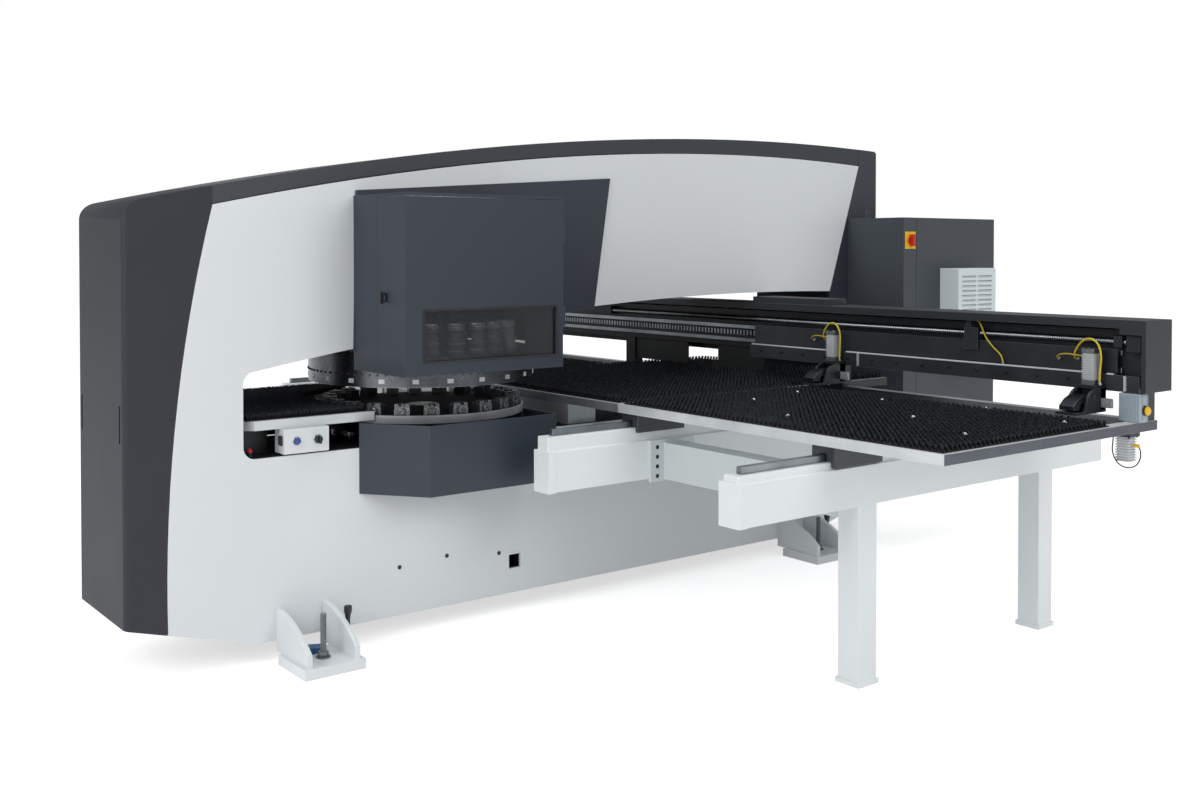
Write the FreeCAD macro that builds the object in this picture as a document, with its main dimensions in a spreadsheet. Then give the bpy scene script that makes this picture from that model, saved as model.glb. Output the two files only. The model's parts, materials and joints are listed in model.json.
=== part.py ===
import FreeCAD, Part, Sketcher
import math
import os
import sys
from types import SimpleNamespace

os.makedirs("parts", exist_ok=True)
doc = FreeCAD.newDocument("turret_punch_press")

# ---------------------------------------------------------------------------
# Driving dimensions, in millimetres. X runs along the carriage beam, Y runs
# along the O-frame from its near end, Z is up from the floor. Names that end
# in _y are measured from the near end of the frame, the others from X = 0
# (the middle plane of the frame) and from the floor.
# ---------------------------------------------------------------------------
DIMENSIONS = dict(
    # O-frame and its covers
    frame_length=4200, frame_width=564, cover_wall=12, plate_wall=40,
    frame_bottom=80, end_bottom=224, taper_length=510,
    near_top=1790, mid_top=2124, far_top=2172,
    panel_near_y=160, panel_waist_y=197, panel_waist_z=1020,
    panel_corner_y=337, panel_corner_z=1790,
    panel_mid_share=0.52333, panel_mid_z=2062, panel_far_inset=163, panel_far_z=2085,
    cover_gap=3, seam_gap=0.5, near_corner=65, far_corner=38, cover_edge=20,
    grip_width=16, grip_height=140, grip_z=905,
    throat_near_y=453, throat_far_wall=400, throat_floor=803, throat_round=50,
    throat_near_top=1145, throat_mid_share=0.48143, throat_mid_top=1341, throat_far_top=1389,
    pocket_near_y=950, pocket_far_y=1860, pocket_top=1400,
    access_hole=62, access_hole_y=1680, access_hole_z=190,
    # feet
    foot_x=336, foot_depth=246, foot_y=568, foot_width=252, foot_plate=40,
    gusset_wall=22, gusset_inset=16, gusset_height=205, gusset_toe=58,
    stud_radius=12, stud_height=212, stud_x=470, stud_hole_gap=2, stud_nut=20,
    washer_thickness=5, jack_bolt_radius=9, jack_bolt_start=30, jack_bolt_shank=150,
    jack_bolt_head=24, jack_ear_inset=50, jack_ear_width=50, jack_ear_reach=44, jack_ear_height=32,
    wedge_inset=22, wedge_width=60, wedge_near=52, wedge_far=38, wedge_height=30,
    # turret and punching head
    turret_y=1402, upper_radius=500, upper_bottom=1050, upper_height=130,
    lower_radius=450, lower_bottom=850, lower_height=75,
    tool_pitch_radius=385, tool_stations=22, punch_radius=40, punch_height=125,
    die_radius=37, die_height=47, shaft_radius=70, shaft_clearance=0.05,
    tooth_module=8, ring_teeth=72, pinion_teeth=18, ring_gear_height=28,
    ram_radius=45, ram_cylinder_radius=110, ram_bottom=1345, ram_top=1720,
    # guards
    guard_x=704, guard_near_y=923, guard_width=750, guard_bottom=1128, guard_top=1838,
    guard_seam_x=484, knuckle_radius=7, knuckle_length=40, knuckle_gap=0.3, sheet_metal=12, thin_sheet=6,
    window_y=1010, window_width=630, window_bottom=1182, window_height=198,
    latch_x=549, latch_z=1430,
    face_near_y=919, face_far_y=2155, face_top_y=2250,
    lower_guard_x=534, lower_guard_near_y=944, lower_guard_bend_y=1132,
    lower_guard_far_y=1762, lower_guard_bottom=615, lower_guard_top=905,
    # tables
    table_bottom=910, table_thickness=38, bristle_height=27, bristle_pitch=60,
    bristle_row_pitch=45, tuft_width=14, strip_height=5, strip_width=10,
    centre_table_half=697, table_near_y=1975, table_far_y=3327,
    centre_table_far_gap=20, table_inset=41, near_table_chamfer=40,
    near_table_half=264, near_table_y=466, table_gap=3, turret_cut_gap=10,
    # support arms
    arm_near_y=1542, arm_width=100, arm_wall=8,
    inner_arm_x=734, inner_arm_bottom=620, inner_arm_top=789,
    outer_arm_x=1844, outer_arm_bottom=672, outer_arm_top=822,
    seat_width=72, rail_bottom=848, rail_height=26, rail_width=28,
    rail_inset=45, leg_width=100, near_leg_y=2151, far_leg_y=3308,
    leg_foot_lip=8, leg_foot_height=18,
    beam_bottom=615, beam_top=775, flange_lip=76, flange_wall=14,
    flange_hole=7, flange_pitch=42, flange_hole_z=632,
    end_cover_wall=2.5, end_cover_length=36,
    runner_width=112, runner_length=90, front_runner_length=270, runner_gap=0.5, runner_bottom=827,
    runner_front_y=2010, runner_mid_y=2600, runner_rear_y=3150,
    # Y carriage
    hood_near_y=3170, hood_far_y=3362, hood_top=1345, hood_bottom=1065,
    hood_half=2440, hood_sheet=8, hood_lip=35, cap_depth=110, cap_lip=58, cap_edge=20, cap_wall=4,
    girder_y=3262, girder_width=88, girder_bottom=1100, girder_height=200,
    girder_setback=40, post_width=80, post_depth=57,
    guide_height=20, guide_setback=140, lower_guide_z=1130, upper_guide_z=1200,
    screw_radius=14, screw_y=3235, screw_z=1255, screw_start=-960, screw_setback=110,
    feed_x=640, feed_z=838, feed_start_y=2760, feed_end_gap=10, feed_nut_y=3340,
    # X carriage and workholders
    bar_start=284, bar_end_setback=150, bar_tip_setback=40, bar_front_y=3190, bar_bottom=1062, bar_height=63,
    plate_front_y=3222, plate_back_y=3234, plate_bottom=1125, plate_top=1225,
    clamp_near_x=882, clamp_far_setback=220, clamp_width=88, clamp_front_y=2975,
    jaw_bottom=978, jaw_thickness=11, pivot_y=3110, pivot_z=1035, pivot_radius=8,
    air_cylinder=52, air_cylinder_bottom=1085, air_cylinder_height=140,
    # small units
    control_near_y=612, control_width=190, control_bottom=812, control_depth=90,
    control_front_x=300, button_radius=13, knob_radius=16,
    end_box_inset=81, end_box_length=96, end_box_y=3178, end_box_depth=62,
    end_box_bottom=949, end_box_height=110, stop_button_radius=17,
    locator_inset=39, locator_y=3168, locator_size=58, locator_height=95,
    locator_pin_radius=8, locator_rise=40,
    # control cabinet
    cabinet_overlap=250, cabinet_length=810, cabinet_front_x=650, cabinet_bottom=450,
    cabinet_top=1790, cabinet_wall=8, door_thickness=18, switch_strip=110,
    cooler_y=4262, cooler_length=338, cooler_depth=122, cooler_bottom=950,
    cooler_top=1515, louvre_pitch=26, louvre_height=11,
    handle_bottom=1080, handle_length=140, handle_inset=22, handle_width=18, handle_depth=14,
    switch_radius=24, switch_z=1668,
)

sheet = doc.addObject("Spreadsheet::Sheet", "Sizes")
for row, (alias, number) in enumerate(DIMENSIONS.items(), start=1):
    sheet.set("A%d" % row, alias)
    sheet.set("B%d" % row, str(number))
    sheet.setAlias("B%d" % row, alias)
doc.recompute()


class Size:
    """A length that knows both its value and the sheet expression behind it."""

    def __init__(self, value, text):
        self.value = value
        self.text = text

    @staticmethod
    def of(other):
        if isinstance(other, Size):
            return other
        return Size(float(other), repr(float(other)))

    def combine(self, other, sign, value):
        return Size(value, "(%s %s %s)" % (self.text, sign, Size.of(other).text))

    def __add__(self, other):
        return self.combine(other, "+", self.value + Size.of(other).value)

    def __sub__(self, other):
        return self.combine(other, "-", self.value - Size.of(other).value)

    def __mul__(self, other):
        return self.combine(other, "*", self.value * Size.of(other).value)

    def __truediv__(self, other):
        return self.combine(other, "/", self.value / Size.of(other).value)

    def __radd__(self, other):
        return Size.of(other) + self

    def __rsub__(self, other):
        return Size.of(other) - self

    def __rmul__(self, other):
        return Size.of(other) * self

    def __neg__(self):
        return Size.of(0) - self


D = SimpleNamespace(**{a: Size(float(n), "Sizes." + a) for a, n in DIMENSIONS.items()})

# Places that follow from the frame's length and from the beam's half length.
D.throat_far_y = D.frame_length - D.throat_far_wall
D.throat_mid_y = D.frame_length * D.throat_mid_share
D.panel_far_y = D.frame_length - D.panel_far_inset
D.panel_mid_y = D.frame_length * D.panel_mid_share
D.cabinet_y = D.frame_length - D.cabinet_overlap
D.arm_far_y = D.throat_far_y
D.centre_table_far_y = D.throat_far_y - D.centre_table_far_gap
D.feed_end_y = D.throat_far_y - D.feed_end_gap
D.girder_half = D.hood_half - D.girder_setback
D.guide_half = D.hood_half - D.guide_setback
D.screw_end = D.hood_half - D.screw_setback
D.bar_end = D.hood_half - D.bar_end_setback
D.bar_tip = D.hood_half - D.bar_tip_setback
D.clamp_far_x = D.hood_half - D.clamp_far_setback
D.table_outer_x = D.hood_half - D.table_inset
D.end_box_x = D.table_outer_x - D.end_box_inset
D.locator_x = D.table_outer_x - D.locator_inset
nodes = []
ORIGIN_SHIFT = (D.cabinet_y + D.cabinet_length) / 2
HALF = D.frame_width / 2
STEEL = HALF - D.cover_wall
PLANE_TURNS = {"XY_Plane": 0, "XZ_Plane": 1, "YZ_Plane": 2}
AXES = {
    "x": FreeCAD.Rotation(FreeCAD.Vector(0, 1, 0), 90),
    "y": FreeCAD.Rotation(FreeCAD.Vector(1, 0, 0), -90),
    "z": FreeCAD.Rotation(),
}


def along(distance_y):
    """Y in the part's frame of a distance from the near end of the frame."""
    return Size.of(distance_y) - ORIGIN_SHIFT


def bind(item, prop, size):
    item.setExpression(prop, Size.of(size).text)


def place(item, x, y, z, rotation=None):
    spot = [Size.of(c) for c in (x, y, z)]
    base = FreeCAD.Vector(*[c.value for c in spot])
    item.Placement = FreeCAD.Placement(base, rotation or FreeCAD.Rotation())
    for letter, size in zip("xyz", spot):
        bind(item, "Placement.Base." + letter, size)
    return item


def node(label, item):
    """Marks a finished sub-part that gets a file of its own."""
    item.Label = label
    nodes.append(item)
    return item


def box(x0, x1, y0, y1, z0, z1):
    """A block between two corners; y is measured from the near end."""
    item = doc.addObject("Part::Box", "Block")
    sizes = [Size.of(b) - Size.of(a) for a, b in ((x0, x1), (y0, y1), (z0, z1))]
    for prop, size in zip(("Length", "Width", "Height"), sizes):
        setattr(item, prop, size.value)
        bind(item, prop, size)
    return place(item, x0, along(y0), z0)


def rod(x, y, z, radius, length, axis="z"):
    """A round bar that starts at a point and runs along one axis."""
    item = doc.addObject("Part::Cylinder", "Rod")
    item.Radius = Size.of(radius).value
    item.Height = Size.of(length).value
    bind(item, "Radius", radius)
    bind(item, "Height", length)
    return place(item, x, along(y), z, AXES[axis])


def fuse(*items):
    flat = list(items)
    if len(flat) == 1:
        return flat[0]
    joined = doc.addObject("Part::MultiFuse", "Joined")
    joined.Shapes = flat
    return joined


def group(*items):
    """Separate solids that share one node."""
    holder = doc.addObject("Part::Compound", "Group")
    holder.Links = list(items)
    return holder


def cut(base, *tools):
    item = doc.addObject("Part::Cut", "Cut")
    item.Base = base
    item.Tool = fuse(*tools)
    return item


def arc_edge(start, middle, end):
    """An arc through three points and whether the sketcher turns it round."""
    (x1, y1), (x2, y2), (x3, y3) = start, middle, end
    clockwise = (x2 - x1) * (y3 - y1) - (y2 - y1) * (x3 - x1) < 0
    points = [FreeCAD.Vector(px, py, 0) for px, py in (start, middle, end)]
    if clockwise:
        points.reverse()
    edge = Part.Arc(*points)
    return edge, clockwise


def draw(sketch, outline):
    """Draws a closed outline. A corner is (u, w); ("via", u, w) between two
    corners makes the side between them an arc through that point."""
    corners = [p for p in outline if p[0] != "via"]
    vias = {}
    index = -1
    for point in outline:
        if point[0] == "via":
            vias[index] = (point[1], point[2])
        else:
            index += 1
    ends = []
    for i, corner in enumerate(corners):
        following = corners[(i + 1) % len(corners)]
        start = tuple(Size.of(c).value for c in corner)
        end = tuple(Size.of(c).value for c in following)
        if i in vias:
            middle = tuple(Size.of(c).value for c in vias[i])
            edge, turned = arc_edge(start, middle, end)
            number = sketch.addGeometry(edge, False)
            ends.append((number, 2 if turned else 1, 1 if turned else 2))
        else:
            line = Part.LineSegment(FreeCAD.Vector(*start, 0), FreeCAD.Vector(*end, 0))
            ends.append((sketch.addGeometry(line, False), 1, 2))
    for i, (number, first, last) in enumerate(ends):
        nxt = ends[(i + 1) % len(ends)]
        sketch.addConstraint(Sketcher.Constraint("Coincident", number, last, nxt[0], nxt[1]))
        pin_point(sketch, number, first, corners[i])
    for i, via in vias.items():
        spot = FreeCAD.Vector(Size.of(via[0]).value, Size.of(via[1]).value, 0)
        mark = sketch.addGeometry(Part.Point(spot), True)
        pin_point(sketch, mark, 1, via)
        sketch.addConstraint(Sketcher.Constraint("PointOnObject", mark, 1, ends[i][0]))


def pin_point(sketch, number, position, spot):
    for kind, size in zip(("DistanceX", "DistanceY"), spot):
        size = Size.of(size)
        at = sketch.addConstraint(Sketcher.Constraint(kind, -1, 1, number, position, size.value))
        sketch.setExpression("Constraints[%d]" % at, size.text)


def padded(role, outline, length, x=0, y=0, z=0):
    """A body padded from an outline on one of its own origin planes."""
    body = doc.addObject("PartDesign::Body", "Body")
    sketch = body.newObject("Sketcher::SketchObject", "Outline")
    plane = [o for o in body.Origin.OriginFeatures if o.Role == role][0]
    sketch.AttachmentSupport = [(plane, "")]
    sketch.MapMode = "FlatFace"
    draw(sketch, outline)
    pad = body.newObject("PartDesign::Pad", "Pad")
    pad.Profile = sketch
    pad.Length = Size.of(length).value
    bind(pad, "Length", length)
    body.Tip = pad
    return place(body, x, along(y), z)


def side_plate(outline, x0, x1):
    """A plate whose outline lies in the YZ plane, between two X values."""
    return padded("YZ_Plane", outline, Size.of(x1) - Size.of(x0), x=x0)


def solid_feature(name, shape):
    item = doc.addObject("Part::Feature", name)
    item.Shape = shape
    return item


# ---------------------------------------------------------------------------
# The O-frame: a hollow box-section weldment with a long throat
# ---------------------------------------------------------------------------
def taper_z(distance_y, rise=0):
    """Height of the tapered underside at a distance from the nearer end."""
    slope = (D.end_bottom - D.frame_bottom) / D.taper_length
    return D.end_bottom - slope * Size.of(distance_y) + rise


def throat_outline(grow):
    """The throat's outline, grown outwards by a wall."""
    near, far = D.throat_near_y - grow, D.throat_far_y + grow
    floor = D.throat_floor - grow
    corner = D.throat_round * (1 - math.sqrt(0.5))
    return [
        (near + D.throat_round, floor),
        (far, floor),
        (far, D.throat_far_top + grow),
        ("via", D.throat_mid_y, D.throat_mid_top + grow),
        (near + D.throat_round, D.throat_near_top + grow),
        ("via", near + corner, D.throat_near_top + grow - corner),
        (near, D.throat_near_top + grow - D.throat_round),
        (near, floor + D.throat_round),
        ("via", near + corner, floor + corner),
    ]


def top_outline(inset):
    """The top of the frame from its far end to its near end, with rounded corners."""
    near, far = Size.of(inset), D.frame_length - inset
    near_top, far_top = D.near_top - inset, D.far_top - inset
    near_set = D.near_corner - Size.of(inset) * 0.8
    far_set = D.far_corner - Size.of(inset) * 0.96
    return [
        (far, far_top - far_set),
        ("via", far - far_set * 0.29, far_top - far_set * 0.28),
        (far - far_set, far_top + far_set * 0.045),
        ("via", D.frame_length / 2, D.mid_top - inset),
        (near + near_set * 0.975, near_top + near_set * 0.222),
        ("via", near + near_set * 0.274, near_top - near_set * 0.218),
        (near, near_top - near_set),
    ]


def frame_outline(inset, rounded=True):
    """The frame's outer outline, moved inwards by an inset."""
    near, far = Size.of(inset), D.frame_length - inset
    under = D.taper_length
    plain_top = [(far, D.far_top - inset), ("via", D.frame_length / 2, D.mid_top - inset),
                 (near, D.near_top - inset)]
    return [
        (near, D.end_bottom + inset),
        (under, D.frame_bottom + inset),
        (D.frame_length - under, D.frame_bottom + inset),
        (far, D.end_bottom + inset),
    ] + (top_outline(inset) if rounded else plain_top)


def steel_outline():
    """The welded steel inside the sheet covers: flush with them underneath."""
    outline = frame_outline(D.cover_wall)
    near, far = D.cover_wall, D.frame_length - D.cover_wall
    outline[0] = (near, D.end_bottom)
    outline[1] = (D.taper_length, D.frame_bottom)
    outline[2] = (D.frame_length - D.taper_length, D.frame_bottom)
    outline[3] = (far, D.end_bottom)
    return outline


def pocket(x0, x1):
    return box(x0, x1, D.pocket_near_y, D.pocket_far_y, D.throat_floor + 1, D.pocket_top)


def main_frame():
    outer = side_plate(steel_outline(), -STEEL, STEEL)
    throat = side_plate(throat_outline(0), -HALF, HALF)
    hollow_reach = STEEL - D.plate_wall
    inner = side_plate(frame_outline(D.cover_wall + D.plate_wall, False), -hollow_reach,
                       hollow_reach)
    web = side_plate(throat_outline(D.plate_wall), -HALF, HALF)
    wall = D.plate_wall
    pocket_wall = box(-HALF, HALF, D.pocket_near_y - wall, D.pocket_far_y + wall,
                      D.throat_floor, D.pocket_top + wall)
    hollow = cut(inner, web, pocket_wall)
    ram_y = D.turret_y + D.tool_pitch_radius
    ram_bore = rod(0, ram_y, D.pocket_top - wall, D.ram_cylinder_radius, wall * 3)
    upper_bore = rod(0, D.turret_y, D.pocket_top - wall, D.shaft_radius * 1.6, wall * 3)
    lower_bore = rod(0, D.turret_y, D.throat_floor - wall * 2, D.shaft_radius * 1.6, wall * 3)
    motor_y = D.turret_y - (D.ring_teeth + D.pinion_teeth) * D.tooth_module / 2
    motor_bore = rod(0, motor_y, D.throat_floor - wall * 2, D.shaft_radius, wall * 3)
    access = box(0, HALF, D.access_hole_y, D.access_hole_y + D.access_hole,
                 D.access_hole_z, D.access_hole_z + D.access_hole)
    sight_holes = [rod(0, y, z, 6, HALF, "x") for y, z in ((1130, 283), (1360, 297), (1628, 268))]
    return node("main_frame", cut(outer, throat, pocket(-HALF, HALF), hollow, ram_bore, upper_bore,
                                  lower_bore, motor_bore, access, *sight_holes))


def panel_outline():
    """The pale side panel: a C that wraps the throat from the near side."""
    floor_start = D.throat_near_y + D.throat_round
    corner = D.throat_round * (1 - math.sqrt(0.5))
    end_y = D.panel_far_y
    return [
        (D.panel_near_y, taper_z(D.panel_near_y)),
        (D.taper_length, D.frame_bottom),
        (D.frame_length - D.taper_length, D.frame_bottom),
        (end_y, taper_z(D.frame_length - end_y)),
        (D.throat_far_y, D.throat_floor),
        (floor_start, D.throat_floor),
        ("via", D.throat_near_y + corner, D.throat_floor + corner),
        (D.throat_near_y, D.throat_floor + D.throat_round),
        (D.throat_near_y, D.throat_near_top - D.throat_round),
        ("via", D.throat_near_y + corner, D.throat_near_top - corner),
        (floor_start, D.throat_near_top),
        ("via", D.throat_mid_y, D.throat_mid_top),
        (D.throat_far_y, D.throat_far_top),
        (end_y, D.panel_far_z),
        ("via", D.panel_mid_y, D.panel_mid_z),
        (D.panel_corner_y, D.panel_corner_z),
        ("via", D.panel_waist_y, D.panel_waist_z),
    ]


def side_panels():
    for label, x0, x1 in (("front_side_panel", STEEL, HALF), ("rear_side_panel", -HALF, -STEEL)):
        access = box(x0, x1, D.access_hole_y, D.access_hole_y + D.access_hole,
                     D.access_hole_z, D.access_hole_z + D.access_hole)
        holes = [rod(x0, y, z, 6, D.cover_wall, "x") for y, z in ((1130, 283), (1360, 297), (1628, 268))]
        node(label, cut(side_plate(panel_outline(), x0, x1), pocket(x0, x1), access, *holes))


def band_inner(lift):
    """The frame's outline just inside the sheet covers, used to hollow them."""
    return [(D.cover_wall, lift), (D.frame_length - D.cover_wall, lift)] + top_outline(D.cover_wall)


def edge_cutters(distance_y, inward):
    """Two tall cutters that round a cover's upright edges at one end of the frame."""
    reach, spare = D.cover_edge, 4
    near_arc = D.cover_edge * (1 - math.sqrt(0.5))
    cutters = []
    for side in (1, -1):
        outline = [(spare * side, -spare * inward), (spare * side, reach * inward),
                   (0, reach * inward),
                   ("via", -near_arc * side, near_arc * inward),
                   (-reach * side, 0), (-reach * side, -spare * inward)]
        cutters.append(padded("XY_Plane", outline, D.far_top * 1.2, x=HALF * side, y=distance_y))
    return cutters


def covers():
    gap = D.cover_gap
    seam_near, seam_far = D.panel_corner_y + D.seam_gap, D.panel_far_y
    above = D.far_top * 1.2
    outer = frame_outline(0)
    top_band = cut(
        side_plate(outer, -HALF, HALF),
        side_plate(band_inner(0), -STEEL, STEEL),
        side_plate([(0, 0), (D.frame_length, 0), (D.frame_length, D.panel_far_z + gap),
                    (D.panel_far_y, D.panel_far_z + gap),
                    ("via", D.panel_mid_y, D.panel_mid_z + gap),
                    (D.panel_corner_y, D.panel_corner_z + gap),
                    (0, D.panel_corner_z + gap)], -HALF, HALF),
        box(-HALF, HALF, 0, seam_near, 0, above),
        box(-HALF, HALF, seam_far, D.frame_length, 0, above))
    node("top_cover", top_band)
    near = cut(
        side_plate(outer, -HALF, HALF),
        side_plate(band_inner(0), -STEEL, STEEL),
        side_plate([(D.panel_near_y - gap, 0), (D.frame_length, 0), (D.frame_length, above),
                    (D.panel_corner_y, above),
                    (D.panel_corner_y, D.panel_corner_z),
                    (D.panel_corner_y - gap, D.panel_corner_z),
                    ("via", D.panel_waist_y - gap, D.panel_waist_z),
                    (D.panel_near_y - gap, taper_z(D.panel_near_y))], -HALF, HALF))
    grips = [box(x, x + D.grip_width, 0, D.cover_wall / 2, D.grip_z, D.grip_z + D.grip_height)
             for x in (-STEEL + 22, STEEL - 22 - D.grip_width)]
    node("near_end_cover", cut(near, *grips, *edge_cutters(0, 1)))
    far = cut(
        side_plate(outer, -HALF, HALF),
        side_plate(band_inner(0), -STEEL, STEEL),
        side_plate([(0, 0), (D.panel_far_y + gap, 0),
                    (D.panel_far_y + gap, taper_z(D.frame_length - D.panel_far_y)),
                    (D.throat_far_y + gap, D.throat_floor),
                    (D.throat_far_y + gap, D.throat_far_top),
                    (D.panel_far_y + gap, D.panel_far_z),
                    (D.panel_far_y + gap, above),
                    (0, above)], -HALF, HALF))
    node("far_end_cover", cut(far, *edge_cutters(D.frame_length, -1)))


# ---------------------------------------------------------------------------
# Levelling feet
# ---------------------------------------------------------------------------
def sides():
    """The two sides of the frame, front first."""
    return (1, -1)


def span(side, low, high):
    """X limits of a piece on the front, or its mirror image at the back."""
    low, high = Size.of(low), Size.of(high)
    return (low, high) if side > 0 else (-high, -low)


def foot_places():
    near = D.foot_y
    far = D.frame_length - D.foot_y - D.foot_width
    return [(side, y) for side in sides() for y in (near, far)]


def gusset(side, y):
    """A web from the foot plate up to the side of the frame, with a bowed edge."""
    toe_x = D.foot_x + D.foot_depth - 18
    low, top = D.foot_plate, D.gusset_height
    outline = [(0, low), (toe_x - HALF, low), (toe_x - HALF, D.gusset_toe + 30),
               ("via", (toe_x - HALF) * 0.58, low + (top - low) * 0.74), (0, top)]
    plate = padded("XZ_Plane", outline, D.gusset_wall, x=HALF, y=y + D.gusset_wall)
    if side > 0:
        return plate
    mirror = doc.addObject("Part::Mirroring", "Mirror")
    mirror.Source = plate
    mirror.Normal = (1, 0, 0)
    return mirror


def feet():
    brackets, studs, wedges, bolts = [], [], [], []
    for side, y in foot_places():
        x0, x1 = span(side, D.foot_x, D.foot_x + D.foot_depth)
        inner = box(x0, x1, y, y + D.foot_width, 0, D.foot_plate)
        webs = [gusset(side, y + D.gusset_inset),
                gusset(side, y + D.foot_width - D.gusset_inset - D.gusset_wall)]
        web_edge = y + D.foot_width - D.gusset_inset
        ear_start = D.foot_x + D.jack_ear_inset
        jx0, jx1 = span(side, ear_start, ear_start + D.jack_ear_width)
        ear = box(jx0, jx1, web_edge - 1, web_edge + D.jack_ear_reach, D.foot_plate,
                  D.foot_plate + D.jack_ear_height)
        stud_x = side * D.stud_x
        stud_y = y + D.foot_width / 2
        hole = rod(stud_x, stud_y, 0, D.stud_radius + D.stud_hole_gap, D.foot_plate)
        bolt_x = (jx0 + jx1) / 2
        bolt_y = web_edge + D.jack_ear_reach * 24 / 44
        bolt_hole = rod(bolt_x, bolt_y, 0, D.jack_bolt_radius, D.foot_plate + D.jack_ear_height + 8)
        brackets.append(cut(fuse(inner, ear, *webs), hole, bolt_hole))
        stud = rod(stud_x, stud_y, 0, D.stud_radius, D.stud_height)
        washer = rod(stud_x, stud_y, D.foot_plate, D.stud_radius * 2.4, D.washer_thickness)
        nut = doc.addObject("Part::Prism", "Nut")
        nut.Polygon = 6
        nut.Circumradius = D.stud_radius.value * 1.75
        bind(nut, "Circumradius", D.stud_radius * 1.75)
        nut.Height = D.stud_nut.value
        bind(nut, "Height", D.stud_nut)
        place(nut, stud_x, along(stud_y), D.foot_plate + D.washer_thickness)
        studs.append(fuse(stud, washer, nut))
        wedge_start = D.foot_x + D.wedge_inset
        wx0, wx1 = span(side, wedge_start, wedge_start + D.wedge_width)
        wedges.append(box(wx0, wx1, stud_y - D.wedge_near, stud_y + D.wedge_far, D.foot_plate,
                          D.foot_plate + D.wedge_height))
        shank = rod(bolt_x, bolt_y, D.jack_bolt_start, D.jack_bolt_radius, D.jack_bolt_shank)
        head = rod(bolt_x, bolt_y, D.jack_bolt_start + D.jack_bolt_shank, D.jack_bolt_radius * 1.8,
                   D.jack_bolt_head)
        bolts.append(fuse(shank, head))
    node("foot_brackets", group(*brackets))
    node("anchor_studs", group(*studs))
    node("foot_wedges", group(*wedges))
    node("jack_bolts", group(*bolts))


# ---------------------------------------------------------------------------
# Turret, its drive and the punching head
# ---------------------------------------------------------------------------
def gear_shape(teeth, module, height, bore):
    """A spur gear with straight-sided teeth and working backlash."""
    pitch_radius = teeth * module / 2
    root, tip = pitch_radius - module * 1.2, pitch_radius + module * 0.85
    step = 2 * math.pi / teeth
    points = []
    for tooth in range(teeth):
        for radius, share in ((root, -0.31), (tip, -0.13), (tip, 0.13), (root, 0.31)):
            turn = (tooth + share) * step
            points.append(FreeCAD.Vector(radius * math.cos(turn), radius * math.sin(turn), 0))
    points.append(points[0])
    blank = Part.Face(Part.makePolygon(points)).extrude(FreeCAD.Vector(0, 0, height))
    return blank.cut(Part.makeCylinder(bore, height))


def stations(radius, height, z, pitch, count):
    """Round tools in a ring about the turret's axis, as separate solids."""
    tools = []
    for station in range(count):
        turn = math.pi / 2 + 2 * math.pi * station / count
        spot = FreeCAD.Vector(pitch * math.cos(turn), pitch * math.sin(turn), z)
        tools.append(Part.makeCylinder(radius, height, spot))
    return tools


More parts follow.
